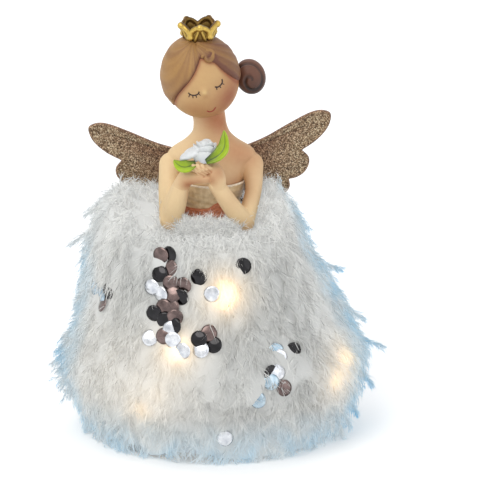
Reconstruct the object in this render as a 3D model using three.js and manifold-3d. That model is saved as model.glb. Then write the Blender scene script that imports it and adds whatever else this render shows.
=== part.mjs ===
// Lighted angel figurine: a painted resin bust of an angel doll on a bell-shaped feather skirt.
// A string of lights is wound on the foam core under the skirt, and the battery box is let into the
// base. Millimetres, +Z up, the angel faces -Y, and the origin is the centre of the base on the floor.

import * as THREE from 'three';
import { mergeVertices } from 'three/addons/utils/BufferGeometryUtils.js';
import Module from 'manifold-3d';

const wasm = await Module();
wasm.setup();

// Clearances shared by all pieces
const seatGap = 0.3;            // between pieces that are glued together or rest on each other
const runningGap = 0.4;         // round pieces that slide or turn
const overrun = 2;              // how far a cutting tool passes the face that it cuts

// Base board and feet
const footHeight = 3;
const footRadius = 6;
const footTaper = 1;
const footInset = 10;            // from the board's edge to the middle of each foot
const boardThickness = 4;
const boardChamfer = 0.8;

// Battery cells, springs and contacts (AAA)
const cellCount = 3;
const cellRadius = 5.25;
const cellLength = 43.7;
const nubRadius = 1.9;
const nubLength = 0.8;
const cellSpacing = 0.7;
const springLength = 5;
const springWireRadius = 0.35;
const springEndRadius = 3.6;
const springTipRadius = 2.1;
const springCurls = 2.5;
const contactThickness = 0.4;
const contactHeight = 7;
const contactWidth = 8;

// Battery box, cover and screw
const boxWall = 1.5;
const boxRib = 1.2;
const boxFlangeWidth = 3.5;
const boxFlangeThickness = 1.2;
const coverThickness = 2;
const coverRecess = 0.2;
const hingePinRadius = 0.7;
const hingePinLength = 1.1;
const screwBayLength = 8.8;
const bossRadius = 3.4;
const bossHoleDepth = 6;
const screwHeadRadius = 2.6;
const screwHeadHeight = 1;
const screwShankRadius = 1.4;
const screwShankLength = 4;
const screwSlotWidth = 0.8;
const screwSlotDepth = 0.45;
const gripCount = 5;             // finger grooves on the cover
const gripWidth = 0.8;
const gripDepth = 0.5;

// Switch
const switchBayLength = 9;
const switchBayWidth = 16;
const switchBodyHeight = 6;
const switchTravel = 3;
const sliderCarriageLength = 5;
const sliderCarriageWidth = 3.4;
const sliderCarriageHeight = 2.2;
const sliderKnobLength = 3;
const sliderKnobWidth = 2;
const sliderKnobReach = 1.3;

// Foam core, its cap and the dowel
const coreInset = 0.5;           // from the board's edge to the core's foot
const coreHeight = 98;
const capThickness = 4;
const capRadius = 13.2;
const capLip = 0.8;
const dowelRadius = 5;
const dowelDepth = 60;
const dowelRise = 10;

// Light string
const wireRadius = 0.6;
const wirePitch = 16.8;
const wireTurns = 4.75;
const wireFirstHeight = 13;
const wireBendRadius = 4;
const ledCount = 10;
const ledRadius = 1.5;
const ledHeight = 4.5;

// Fabric skirt
const fabricThickness = 0.8;
const fabricFoldDepth = 2.6;
const fabricFolds = 12;

// Feather rows: the outline that the feather tips make, the heights that each row starts at, and its droop
const featherRadius = 79;
const featherDepth = 22;         // from the board's edge to the widest feather tips
const featherTopHeight = 124;
const featherFrontHeight = 109;
const featherHemHeight = 1.4;
const featherMiddleHeight = 36;
const featherUpperHeight = 64;
const featherCollarHeight = 92;
const featherDroop = 9;
const featherStep = 1.6;
const featherWaistRadius = 19.5;
const featherTufts = 12;

// Bust
const bustHeight = 53;
const shoulderHalf = 26;
const armDepth = 28;             // from the bust's axis forward to the hands
const bodiceThickness = 1;
const trimThickness = 1.7;
const sashThickness = 1.2;
const sashHeight = 4.2;
const upperArmRadius = 4.7;
const elbowRadius = 4.9;
const wristRadius = 4;
const palmRadius = 4.2;
const thumbRadius = 1.4;
const fingerRadius = 1.25;
const fingerSpacing = 1.9;

// Head
const headHalfWidth = 17.8;
const headHalfDepth = 17.5;
const headHalfHeight = 19.3;
const noseReach = 1.9;
const hairThickness = 1.9;
const hairGroove = 0.35;
const bunRadius = 7.4;
const bunHalfHeight = 8.8;
const bunGroove = 0.7;

// Crown
const crownBaseRadius = 8.3;
const crownTopRadius = 10.6;
const crownHeight = 11.4;
const crownWall = 1.2;
const crownLobes = 5;
const crownBallRadius = 1.3;

// Wings
const wingLength = 55;
const wingHeight = 48.6;
const wingThickness = 2.4;
const wingBevel = 0.8;
const wingPegRadius = 2;
const wingPegLength = 5;

// Rose and leaves
const roseRadius = 10;
const roseHeight = 12;
const petalThickness = 1;
const leftLeafLength = 11;
const rightLeafLength = 17;
const leafHalfWidth = 3.2;
const leafThickness = 1;

// Angles
const degrees = Math.PI / 180;
const front = -90 * degrees;
const headTilt = -18 * degrees;
const headTurn = 3 * degrees;
const headBow = 5 * degrees;
const crownLean = 14 * degrees;
const leftWingDrop = 7.5 * degrees;
const wingSweep = 9 * degrees;

// Radii and heights that the stack of pieces gives
const boardRadius = featherRadius - featherDepth;
const footCircleRadius = boardRadius - footInset;
const coreRadius = boardRadius - coreInset;
const boardTop = footHeight + boardThickness;
const coreBottom = boardTop + seatGap;
const coreTop = coreBottom + coreHeight;
const capTop = coreTop + seatGap + capThickness;
const bustBottom = capTop + seatGap;
const bustTop = bustBottom + bustHeight;

// Materials
const finish = (color, roughness, metalness = 0) => (
  new THREE.MeshStandardMaterial({ color, roughness, metalness })
);
const skinPaint = finish(0xdeb48c, 0.55);
const hairPaint = finish(0xa8794f, 0.7);
const bunPaint = finish(0x80583d, 0.7);
const goldPaint = finish(0xc8a53c, 0.35, 0.9);
const pearlPaint = finish(0xbeaf91, 0.45);
const sashPaint = finish(0xaf5f32, 0.6);
const rosePaint = finish(0xe8ebf0, 0.5);
const leafPaint = finish(0x96be14, 0.5);
const wingGlitter = finish(0xb49b78, 0.6, 0.3);
const featherWhite = finish(0xe6e8ea, 0.95);
const skirtFabric = finish(0xb9bcc2, 0.4, 0.3);
const ledLens = finish(0xffe2b0, 0.2);
const wireCopper = finish(0xb9845a, 0.4, 0.8);
const foamWhite = finish(0xf2f2ee, 0.95);
const plasticWhite = finish(0xededea, 0.5);
const plasticBlack = finish(0x202022, 0.5);
const woodPale = finish(0xc9a878, 0.8);
const steelBright = finish(0xb8bbc0, 0.3, 1);
const cellWrap = finish(0x3f6f58, 0.35);
const footFelt = finish(0x8a8a88, 0.95);

// Solids and meshes

function skin(rings, joined = false) {
  // Bridges rings of points into one closed surface; a ring of one point is a pole.
  const points = rings.flat();
  const starts = [];
  let total = 0;
  for (const ring of rings) {
    starts.push(total);
    total += ring.length;
  }
  const faces = [];
  const at = (row, step) => starts[row] + (step % rings[row].length);
  const bridge = (low, high) => {
    const sides = Math.max(rings[low].length, rings[high].length);
    for (let step = 0; step < sides; step++) {
      if (rings[low].length > 1) faces.push(at(low, step), at(low, step + 1), at(high, step));
      if (rings[high].length > 1) faces.push(at(low, step + 1), at(high, step + 1), at(high, step));
    }
  };
  const cover = (row, turned) => {
    const ring = rings[row];
    if (ring.length === 1) return;
    const middle = new THREE.Vector3();
    ring.forEach((point) => middle.addScaledVector(point, 1 / ring.length));
    points.push(middle);
    for (let step = 0; step < ring.length; step++) {
      const edge = turned ? [at(row, step + 1), at(row, step)] : [at(row, step), at(row, step + 1)];
      faces.push(...edge, points.length - 1);
    }
  };
  for (let row = 0; row + 1 < rings.length; row++) bridge(row, row + 1);
  if (joined) {
    bridge(rings.length - 1, 0);
  } else {
    cover(0, true);
    cover(rings.length - 1, false);
  }
  const geometry = new THREE.BufferGeometry();
  const places = points.flatMap((point) => point.toArray());
  geometry.setAttribute('position', new THREE.Float32BufferAttribute(places, 3));
  geometry.setIndex(outward(points, faces));
  return geometry;
}

function outward(points, faces) {
  // Turns all faces round if they enclose a negative volume.
  let volume = 0;
  for (let i = 0; i < faces.length; i += 3) {
    const [a, b, c] = [points[faces[i]], points[faces[i + 1]], points[faces[i + 2]]];
    volume += a.dot(new THREE.Vector3().crossVectors(b, c));
  }
  if (volume > 0) return faces;
  const turned = [];
  for (let i = 0; i < faces.length; i += 3) turned.push(faces[i], faces[i + 2], faces[i + 1]);
  return turned;
}

function solid(geometry) {
  // A geometry as a solid that can be joined and cut.
  const bare = geometry.clone();
  bare.deleteAttribute('normal');
  bare.deleteAttribute('uv');
  const merged = mergeVertices(bare);
  const index = merged.index.array;
  const kept = [];
  for (let i = 0; i < index.length; i += 3) {
    const [a, b, c] = [index[i], index[i + 1], index[i + 2]];
    if (a !== b && b !== c && c !== a) kept.push(a, b, c);
  }
  return new wasm.Manifold(new wasm.Mesh({
    numProp: 3,
    vertProperties: new Float32Array(merged.attributes.position.array),
    triVerts: new Uint32Array(kept),
  }));
}

function surface(body) {
  // A solid as a geometry; what a cut has parted from the main body falls away.
  const bodies = body.decompose();
  bodies.sort((one, other) => other.volume() - one.volume());
  const mesh = bodies[0].getMesh();
  const geometry = new THREE.BufferGeometry();
  geometry.setAttribute('position', new THREE.Float32BufferAttribute(mesh.vertProperties, 3));
  geometry.setIndex([...mesh.triVerts]);
  return geometry;
}

const join = (first, ...others) => others.reduce((body, other) => body.add(other), first);
const carve = (first, ...tools) => tools.reduce((body, tool) => body.subtract(tool), first);

function node(name, geometry, material, group) {
  const bare = geometry.clone();
  bare.computeVertexNormals();
  const mesh = new THREE.Mesh(bare, material);
  mesh.name = name;
  group.add(mesh);
  return mesh;
}

// Plain forms, each with its lowest face at the given height

function block(length, width, height, x = 0, y = 0, z = 0) {
  return new THREE.BoxGeometry(length, width, height).translate(x, y, z + height / 2);
}

function rod(radius, height, sides, x = 0, y = 0, z = 0, topRadius = radius) {
  const form = new THREE.CylinderGeometry(topRadius, radius, height, sides);
  return form.rotateX(90 * degrees).translate(x, y, z + height / 2);
}

function turned(profile, sides) {
  // A profile of [radius, height] points, turned about the Z axis.
  const points = profile.map(([radius, height]) => new THREE.Vector2(radius, height));
  return new THREE.LatheGeometry(points, sides).rotateX(90 * degrees);
}

function ball(radius, centre, columns = 8, rows = 6) {
  return new THREE.SphereGeometry(radius, columns, rows).translate(centre.x, centre.y, centre.z);
}

function tube(points, radius, sides) {
  // A round tube through points, with its section carried along without twist.
  const rings = [];
  let across = null;
  points.forEach((point, i) => {
    const before = points[Math.max(i - 1, 0)];
    const after = points[Math.min(i + 1, points.length - 1)];
    const along = new THREE.Vector3().subVectors(after, before).normalize();
    if (across === null) {
      const helper = new THREE.Vector3(0, 0, 1);
      if (Math.abs(along.z) > 0.8) helper.set(1, 0, 0);
      across = new THREE.Vector3().crossVectors(along, helper).normalize();
    }
    across = across.clone().addScaledVector(along, -across.dot(along)).normalize();
    const up = new THREE.Vector3().crossVectors(along, across);
    const size = typeof radius === 'number' ? radius : radius(i / (points.length - 1));
    const ring = [];
    for (let side = 0; side < sides; side++) {
      const angle = 2 * Math.PI * side / sides;
      const spoke = across.clone().multiplyScalar(size * Math.cos(angle));
      ring.push(point.clone().add(spoke).addScaledVector(up, size * Math.sin(angle)));
    }
    rings.push(ring);
  });
  return skin(rings);
}

function printLeastGap(name, points, radius, apart) {
  // The least open space in a winding, between places at least so many points apart along it.
  let least = Infinity;
  for (let i = 0; i < points.length; i++) {
    for (let j = i + apart; j < points.length; j++) {
      least = Math.min(least, points[i].distanceTo(points[j]) - 2 * radius);
    }
  }
  console.log(`least gap of ${name} to itself: ${least.toFixed(2)} mm`);
}

const fullDomeShares = [[-0.88, 0.47], [-0.4, 0.92], [0, 1]];
const smallDomeShares = [[-0.6, 0.75], [0.1, 1]];

function limb(start, end, startRadius, endRadius, sides = 10, domeShares = fullDomeShares) {
  // A tapered round bar with domed ends.
  const along = new THREE.Vector3().subVectors(end, start).normalize();
  const helper = Math.abs(along.z) > 0.9 ? new THREE.Vector3(1, 0, 0) : new THREE.Vector3(0, 0, 1);
  const across = new THREE.Vector3().crossVectors(along, helper).normalize();
  const up = new THREE.Vector3().crossVectors(along, across);
  const circle = (centre, radius) => Array.from({ length: sides }, (_, side) => {
    const angle = 2 * Math.PI * side / sides;
    return centre.clone().addScaledVector(across, radius * Math.cos(angle))
      .addScaledVector(up, radius * Math.sin(angle));
  });
  const rings = [[start.clone().addScaledVector(along, -startRadius)]];
  for (const [stepShare, widthShare] of domeShares) {
    const centre = start.clone().addScaledVector(along, stepShare * startRadius);
    rings.push(circle(centre, widthShare * startRadius));
  }
  for (const [stepShare, widthShare] of domeShares.slice().reverse()) {
    const centre = end.clone().addScaledVector(along, -stepShare * endRadius);
    rings.push(circle(centre, widthShare * endRadius));
  }
  rings.push([end.clone().addScaledVector(along, endRadius)]);
  return skin(rings);
}

function smooth(rows, place) {
  // Reads a table whose first column rises, with a smooth curve through the other columns.
  const last = rows.length - 1;
  if (place <= rows[0][0]) return rows[0].slice(1);
  if (place >= rows[last][0]) return rows[last].slice(1);
  const low = rows.findIndex((row, i) => place < rows[i + 1][0]);
  const [a, b, c, d] = [rows[Math.max(low - 1, 0)], rows[low], rows[low + 1], rows[Math.min(low + 2, last)]];
  const t = (place - b[0]) / (c[0] - b[0]);
  return b.slice(1).map((value, i) => {
    const next = c[i + 1];
    const leave = (next - a[i + 1]) / (c[0] - a[0]) * (c[0] - b[0]);
    const arrive = (d[i + 1] - value) / (d[0] - b[0]) * (c[0] - b[0]);
    const turn = next - value;
    return value + leave * t + (3 * turn - 2 * leave - arrive) * t * t
      + (leave + arrive - 2 * turn) * t * t * t;
  });
}

const model = new THREE.Group();

// Feet and base board

function makeFeet() {
  for (let i = 0; i < 4; i++) {
    const angle = (45 + 90 * i) * degrees;
    const foot = node(
      `foot_${i + 1}`, rod(footRadius - footTaper, footHeight, 14, 0, 0, 0, footRadius), footFelt, model,
    );
    foot.position.set(footCircleRadius * Math.cos(angle), footCircleRadius * Math.sin(angle), 0);
  }
}

// Battery box layout along X, from the hinge end to the switch end
const contactSeat = contactThickness + 2 * seatGap;
const bayLength = 2 * contactSeat + nubLength + cellLength + seatGap + springLength;
const cellPitch = 2 * cellRadius + cellSpacing;
const bayWidth = cellCount * cellPitch + cellSpacing;
const boxLength = bayLength + boxRib + screwBayLength + switchBayLength + 3 * boxWall;
const boxWidth = bayWidth + 2 * boxWall;
const boxStart = -boxLength / 2;
const bayStart = boxStart + boxWall;
const bayEnd = bayStart + bayLength;
const screwBayStart = bayEnd + boxRib;
const screwBayEnd = screwBayStart + screwBayLength;
const switchBayStart = screwBayEnd + boxWall;
const coverBottom = footHeight + coverRecess;
const coverTop = coverBottom + coverThickness;
const cellBottom = coverTop + runningGap;
const cellHeight = cellBottom + cellRadius;
const ceiling = cellHeight + cellRadius + seatGap;
const boxTop = ceiling + boxWall;
const hingeRadius = coverThickness / 2;
const hingeX = bayStart + hingeRadius + runningGap;
const hingeHeight = coverBottom + hingeRadius;
const screwX = (screwBayStart + screwBayEnd) / 2;
const switchX = switchBayStart + switchBayLength / 2;
const switchFloor = footHeight + boxWall;

function makeBoard() {
  const edge = boardRadius - boardChamfer;
  const disc = turned([
    [0, footHeight], [edge, footHeight], [boardRadius, footHeight + boardChamfer],
    [boardRadius, boardTop - boardChamfer], [edge, boardTop], [0, boardTop],
  ], 40);
  const opening = block(
    boxLength + 2 * seatGap, boxWidth + 2 * seatGap, boardThickness + 2 * overrun, 0, 0, footHeight - overrun,
  );
  node('base_board', surface(carve(solid(disc), solid(opening))), plasticWhite, model);
}

function makeBox() {
  const wide = bayWidth;
  const depth = ceiling - footHeight + overrun;
  const bottom = footHeight - overrun;
  const lowRib = cellBottom;
  const outer = join(
    solid(block(boxLength, boxWidth, boxTop - footHeight, 0, 0, footHeight)),
    solid(block(
      boxLength + 2 * boxFlangeWidth, boxWidth + 2 * boxFlangeWidth, boxFlangeThickness, 0, 0, boardTop,
    )),
  );
  const mouth = block(
    screwBayEnd - bayStart, wide, lowRib - bottom, (bayStart + screwBayEnd) / 2, 0, bottom,
  );
  const bay = block(bayLength, wide, depth, (bayStart + bayEnd) / 2, 0, bottom);
  const boss = rod(bossRadius, boxTop, 16, screwX, 0, lowRib);
  const screwBay = carve(solid(block(screwBayLength, wide, depth, screwX, 0, bottom)), solid(boss));
  const holeRadius = screwShankRadius + runningGap;
  const bossHole = rod(holeRadius, bossHoleDepth + overrun, 16, screwX, 0, lowRib - overrun);
  const switchBay = block(
    switchBayLength, switchBayWidth, boxTop - switchFloor + overrun, switchX, 0, switchFloor,
  );
  const knobSlot = block(
    sliderKnobWidth + 2 * runningGap, sliderKnobLength + switchTravel + 2 * runningGap,
    boxWall + 2 * overrun, switchX, 0, bottom,
  );
  const pinHole = new THREE.CylinderGeometry(
    hingePinRadius + runningGap, hingePinRadius + runningGap, boxWidth + 2 * overrun, 12,
  ).translate(hingeX, 0, hingeHeight);
  const tools = [mouth, bay, bossHole, switchBay, knobSlot, pinHole].map(solid);
  node('battery_box', surface(carve(outer, ...tools, screwBay)), plasticWhite, model);
}

function makeCover() {
  const coverEnd = screwBayEnd - runningGap;
  const coverWidth = bayWidth - 2 * runningGap;
  const plate = block(
    coverEnd - hingeX, coverWidth, coverThickness, (coverEnd + hingeX) / 2, 0, coverBottom,
  );
  const barrel = new THREE.CylinderGeometry(hingeRadius, hingeRadius, coverWidth, 12)
    .translate(hingeX, 0, hingeHeight);
  const pin = new THREE.CylinderGeometry(
    hingePinRadius, hingePinRadius, coverWidth + 2 * hingePinLength, 10,
  ).translate(hingeX, 0, hingeHeight);
  const sinkDepth = screwHeadHeight + 2 * seatGap;
  const sink = rod(
    screwHeadRadius + runningGap, sinkDepth + overrun - seatGap, 16, screwX, 0, coverBottom - overrun,
  );
  const hole = rod(screwShankRadius + runningGap, coverThickness + 2 * overrun, 16, screwX, 0, footHeight);
  const gripLength = bayWidth / 2;
  const gripStart = coverEnd - screwBayLength - 3 * gripCount * gripWidth;
  const grips = Array.from({ length: gripCount }, (_, i) => solid(block(
    gripWidth, gripLength, gripDepth + overrun, gripStart + 3 * i * gripWidth, 0, coverBottom - overrun,
  )));
  const cover = carve(join(solid(plate), solid(barrel), solid(pin)), solid(sink), solid(hole), ...grips);
  node('battery_cover', surface(cover), plasticWhite, model);

  const headBottom = coverBottom + seatGap;
  const head = rod(screwHeadRadius, screwHeadHeight, 16, screwX, 0, headBottom);
  const shank = rod(screwShankRadius, screwHeadHeight + screwShankLength, 12, screwX, 0, headBottom);
  const slot = block(
    2 * screwHeadRadius + 2 * overrun, screwSlotWidth, screwSlotDepth + overrun,
    screwX, 0, headBottom - overrun,
  );
  node('cover_screw', surface(carve(join(solid(head), solid(shank)), solid(slot))), steelBright, model);
}

function makeCells() {
  const plateX = { left: bayStart + seatGap, right: bayEnd - seatGap - contactThickness };
  for (let i = 0; i < cellCount; i++) {
    const y = (i - (cellCount - 1) / 2) * cellPitch;
    const turnedRound = i % 2 === 1;
    const profile = [
      [0, 0], [cellRadius, 0], [cellRadius, cellLength], [nubRadius, cellLength],
      [nubRadius, cellLength + nubLength], [0, cellLength + nubLength],
    ];
    const cell = node(`cell_${i + 1}`, turned(profile, 14), cellWrap, model);
    const gapEnd = bayStart + contactSeat;
    const cellStart = turnedRound ? gapEnd + cellLength + nubLength : gapEnd + springLength + seatGap;
    cell.position.set(cellStart, y, cellHeight);
    cell.rotation.y = (turnedRound ? -90 : 90) * degrees;

    const curlSteps = 8;
    const steps = Math.round(springCurls * curlSteps);
    const reach = springLength - 2 * springWireRadius;
    const path = Array.from({ length: steps + 1 }, (_, step) => {
      const share = step / steps;
      const angle = 2 * Math.PI * springCurls * share;
      const radius = springEndRadius + (springTipRadius - springEndRadius) * share;
      const height = springWireRadius + reach * share;
      return new THREE.Vector3(radius * Math.cos(angle), radius * Math.sin(angle), height);
    });
    const spring = node(`spring_${i + 1}`, tube(path, springWireRadius, 4), steelBright, model);
    if (i === 0) printLeastGap('each spring', path, springWireRadius, curlSteps / 2);
    spring.position.set(turnedRound ? bayEnd - contactSeat : gapEnd, y, cellHeight);
    spring.rotation.y = (turnedRound ? -90 : 90) * degrees;
  }
  // The left end has one single plate and one bridge, and the right end has them the other way round.
  const plates = [
    ['contact_single_left', plateX.left, -1, -1], ['contact_bridge_left', plateX.left, 0, 1],
    ['contact_bridge_right', plateX.right, -1, 0], ['contact_single_right', plateX.right, 1, 1],
  ];
  for (const [name, x, first, last] of plates) {
    const width = (last - first) * cellPitch + contactWidth;
    const plate = block(
      contactThickness, width, contactHeight,
      x + contactThickness / 2, (first + last) / 2 * cellPitch, cellHeight - contactHeight / 2,
    );
    node(name, plate, steelBright, model);
  }
}

function makeSwitch() {
  const bodyBottom = switchFloor + seatGap;
  const bodyWidth = switchBayWidth - 2 * runningGap;
  const bodyLength = switchBayLength - 2 * runningGap;
  const body = block(bodyLength, bodyWidth, switchBodyHeight, switchX, 0, bodyBottom);
  const grooveHeight = sliderCarriageHeight + 2 * runningGap;
  const groove = block(
    sliderCarriageWidth + 2 * runningGap, sliderCarriageLength + switchTravel + 2 * runningGap,
    grooveHeight + overrun, switchX, 0, bodyBottom - overrun,
  );
  node('switch_body', surface(carve(solid(body), solid(groove))), plasticBlack, model);

  const carriageBottom = switchFloor + seatGap;
  const knobBottom = footHeight - sliderKnobReach;
  const restY = -switchTravel / 2;
  const carriage = block(
    sliderCarriageWidth, sliderCarriageLength, sliderCarriageHeight, switchX, restY, carriageBottom,
  );
  const knob = block(
    sliderKnobWidth, sliderKnobLength, carriageBottom - knobBottom + sliderCarriageHeight / 2,
    switchX, restY, knobBottom,
  );
  node('switch_slider', surface(join(solid(carriage), solid(knob))), plasticBlack, model);
}

// Foam core: half-width shares of coreRadius at height shares of coreHeight
const coreShares = [
  [0, 1], [0.15, 0.985], [0.35, 0.93], [0.55, 0.83], [0.75, 0.68], [0.88, 0.52], [0.95, 0.38], [1, 0.25],
];
const coreAt = (height) => coreRadius * smooth(coreShares, (height - coreBottom) / coreHeight)[0];
const ledReach = seatGap + ledRadius;

function coreLeanAt(height) {
  // How far the core's face leans back from upright at a height, as an angle.
  const step = coreHeight / 50;
  const low = Math.max(height - step, coreBottom);
  const high = Math.min(height + step, coreTop);
  return Math.atan((coreAt(low) - coreAt(high)) / (high - low));
}

function makeCore() {
  const profile = coreShares.map(([up, out]) => [out * coreRadius, coreBottom + up * coreHeight]);
  const bell = turned([[0, coreBottom], ...profile, [0, coreTop]], 40);
  const pocket = block(
    boxLength + 2 * boxFlangeWidth + 2 * seatGap, boxWidth + 2 * boxFlangeWidth + 2 * seatGap,
    boxTop + seatGap - coreBottom + overrun, 0, 0, coreBottom - overrun,
  );
  const channelSize = 2 * (wireRadius + runningGap);
  const channel = block(
    coreRadius + overrun, channelSize, wireFirstHeight + channelSize / 2 - coreBottom + overrun,
    (coreRadius + overrun) / 2, 0, coreBottom - overrun,
  );
  // Where the channel comes out, a notch leaves room for the wire's bend
  const notchWidth = wireBendRadius + channelSize;
  const notchStart = wirePlace(0).x - wireBendRadius - channelSize / 2;
  const notch = block(
    wireBendRadius + overrun, notchWidth, channelSize,
    notchStart + (wireBendRadius + overrun) / 2, (notchWidth - channelSize) / 2,
    wireFirstHeight - channelSize / 2,
  );
  const bore = rod(dowelRadius + seatGap, dowelDepth + overrun, 18, 0, 0, coreTop - dowelDepth);
  const hollows = [pocket, channel, notch, bore].map(solid);
  node('skirt_form', surface(carve(solid(bell), ...hollows)), foamWhite, model);

  const cap = turned([
    [dowelRadius + seatGap, coreTop + seatGap], [capRadius, coreTop + seatGap],
    [capRadius, capTop - capLip], [capRadius - capLip, capTop], [dowelRadius + seatGap, capTop],
    [dowelRadius + seatGap, coreTop + seatGap],
  ], 20);
  node('form_cap', cap, plasticWhite, model);
  const dowelBottom = coreTop - dowelDepth + seatGap;
  const dowel = rod(dowelRadius, bustBottom + dowelRise - dowelBottom, 18, 0, 0, dowelBottom);
  node('bust_dowel', dowel, woodPale, model);
}

// Light string: out of the battery box along the core's channel, then up the core in turns
function wirePlace(turn) {
  const height = wireFirstHeight + wirePitch * turn;
  const lean = coreLeanAt(height);
  const radius = coreAt(height) + ledReach * Math.cos(lean);
  const angle = 2 * Math.PI * turn;
  return new THREE.Vector3(
    radius * Math.cos(angle), radius * Math.sin(angle), height + ledReach * Math.sin(lean),
  );
}

function makeLights() {
  const turnSteps = 18;
  const bendSteps = 4;
  const startX = boxStart + boxLength + seatGap;
  const outer = wirePlace(0).x;
  const bendTurn = wireBendRadius / outer / (2 * Math.PI);
  const path = [new THREE.Vector3(startX, 0, wireFirstHeight)];
  for (let step = 0; step < bendSteps; step++) {
    const angle = 90 * degrees * step / bendSteps;
    const x = outer - wireBendRadius * (1 - Math.sin(angle));
    const y = wireBendRadius * (1 - Math.cos(angle));
    path.push(new THREE.Vector3(x, y, wireFirstHeight));
  }
  const steps = Math.round(wireTurns * turnSteps);
  for (let step = 0; step <= steps; step++) {
    path.push(wirePlace(bendTurn + (wireTurns - bendTurn) * step / steps));
  }
  node('led_string', tube(path, wireRadius, 4), wireCopper, model);
  printLeastGap('the light string', path, wireRadius, turnSteps / 2);

  // The turn of the wire at which each light sits
  const ledTurns = [0.42, 0.66, 0.9, 1.4, 1.67, 1.95, 2.35, 2.7, 3.25, 3.78].slice(0, ledCount);
  const lens = turned([
    [0, 0], [ledRadius * 0.8, 0], [ledRadius, ledHeight * 0.2], [ledRadius, ledHeight * 0.6],
    [ledRadius * 0.6, ledHeight * 0.9], [0, ledHeight],
  ], 6);
  ledTurns.forEach((turn, i) => {
    const name = `led_${String(i + 1).padStart(2, '0')}`;
    const light = node(name, lens, ledLens, model);
    const lean = coreLeanAt(wireFirstHeight + wirePitch * turn);
    light.rotation.set(0, -lean, 2 * Math.PI * turn, 'ZYX');
    light.position.copy(wirePlace(turn));
    light.translateZ(wireRadius + seatGap);
  });
}

// Fabric skirt: closed in on the board below and on the core above, free over the lights between
const fabricBottom = footHeight + boardChamfer;
const fabricTop = coreTop - seatGap;
const lightSpace = 2 * ledReach + 2 * seatGap;
const spaceShares = [[0, 0], [0.1, 1], [0.86, 1], [0.97, 0.12], [1, 0.1]];
const foldShares = [[0, 0.7], [0.1, 1], [0.5, 0.8], [0.86, 0.35], [0.97, 0], [1, 0]];
const fabricShare = (height) => (height - fabricBottom) / (fabricTop - fabricBottom);
const carrierAt = (height) => (height < coreBottom ? boardRadius : coreAt(height));
const fabricInnerAt = (height) => {
  const space = Math.max(smooth(spaceShares, fabricShare(height))[0], 0);
  const lean = coreLeanAt(Math.max(height, coreBottom));
  return carrierAt(height) + (seatGap + lightSpace * space) / Math.cos(lean);
};
const fabricOuterAt = (height) => {
  const fold = Math.max(smooth(foldShares, fabricShare(height))[0], 0);
  return fabricInnerAt(height) + fabricThickness + fabricFoldDepth * fold;
};

const fabricRowShares = [0, 0.1, 0.32, 0.54, 0.74, 0.9, 1];
const fabricRows = fabricRowShares.map((share) => fabricBottom + (fabricTop - fabricBottom) * share);

function makeFabric() {
  const sides = fabricFolds * 3;
  const row = (height, outside) => Array.from({ length: sides }, (_, side) => {
    const angle = 2 * Math.PI * side / sides;
    const inner = fabricInnerAt(height);
    const depth = fabricOuterAt(height) - inner - fabricThickness;
    const fold = depth * (0.5 + 0.5 * Math.cos(fabricFolds * angle));
    const radius = inner + fold + (outside ? fabricThickness : 0);
    return new THREE.Vector3(radius * Math.cos(angle), radius * Math.sin(angle), height);
  });
  const outside = fabricRows.map((height) => row(height, true));
  const inside = fabricRows.map((height) => row(height, false)).reverse();
  node('sequin_skirt', skin([...outside, ...inside], true), skirtFabric, model);
}

// Feather rows: the outline's half-width as shares of featherRadius at shares of featherTopHeight
const outlineShares = [
  [0, 0.81], [0.065, 0.86], [0.16, 0.925], [0.28, 0.985], [0.36, 0.975], [0.48, 0.89], [0.65, 0.8],
  [0.77, 0.735], [0.89, 0.685], [0.97, 0.62], [1, 0.56],
];
// The upper part is fuller at the viewer's left: by these shares, at shares of featherTopHeight
const fullerLeftShares = [[0.5, 0], [0.645, 0.055], [0.79, 0.14], [1, 0.17]];
const outlineAt = (height, angle) => {
  const share = height / featherTopHeight;
  const fuller = smooth(fullerLeftShares, share)[0] * -Math.cos(angle);
  return featherRadius * smooth(outlineShares, share)[0] * (1 + fuller);
};

function featherInside(bottom, top) {
  // The inner face of a feather row, from its top down, a gap outside the fabric's own facets.
  const between = fabricRows.filter((height) => height > bottom && height < top);
  return [bottom, ...between, top].reverse().map((height) => {
    const within = THREE.MathUtils.clamp(height, fabricBottom, fabricTop);
    const above = Math.max(fabricRows.findIndex((row) => row >= within), 1);
    const [low, high] = [fabricRows[above - 1], fabricRows[above]];
    const share = (within - low) / (high - low);
    const radius = fabricOuterAt(low) * (1 - share) + fabricOuterAt(high) * share;
    return [radius + seatGap, height];
  });
}

const featherSides = featherTufts * 3;
const tuft = (angle, phase) => (
  0.03 * Math.cos(featherTufts * angle + phase) + 0.012 * Math.cos(4 * angle + 2 * phase)
);

function featherRow(bottom, top, phase, step) {
  // One row that droops outwards over the row below it.
  const drop = (height) => Math.max(height - featherDroop, featherHemHeight);
  const middle = (drop(bottom) + drop(top)) / 2;
  const section = (angle) => {
    const out = 1 + tuft(angle, phase);
    return [
      [outlineAt(drop(bottom), angle) * out + step, drop(bottom)],
      [outlineAt(middle, angle) * out + step / 2, middle],
      [outlineAt(drop(top), angle) * (out - 0.025), drop(top) - 3 * seatGap],
      ...featherInside(bottom, top),
    ];
  };
  return ringedSection(section);
}

function ringedSection(section) {
  // Sweeps a section of [radius, height] points round the Z axis, one row of points at a time.
  const sections = Array.from({ length: featherSides }, (_, side) => {
    const angle = 2 * Math.PI * side / featherSides;
    return section(angle).map(([radius, height]) => (
      new THREE.Vector3(radius * Math.cos(angle), radius * Math.sin(angle), height)
    ));
  });
  const rows = sections[0].map((_, point) => sections.map((each) => each[point]));
  return skin(rows, true);
}

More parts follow.
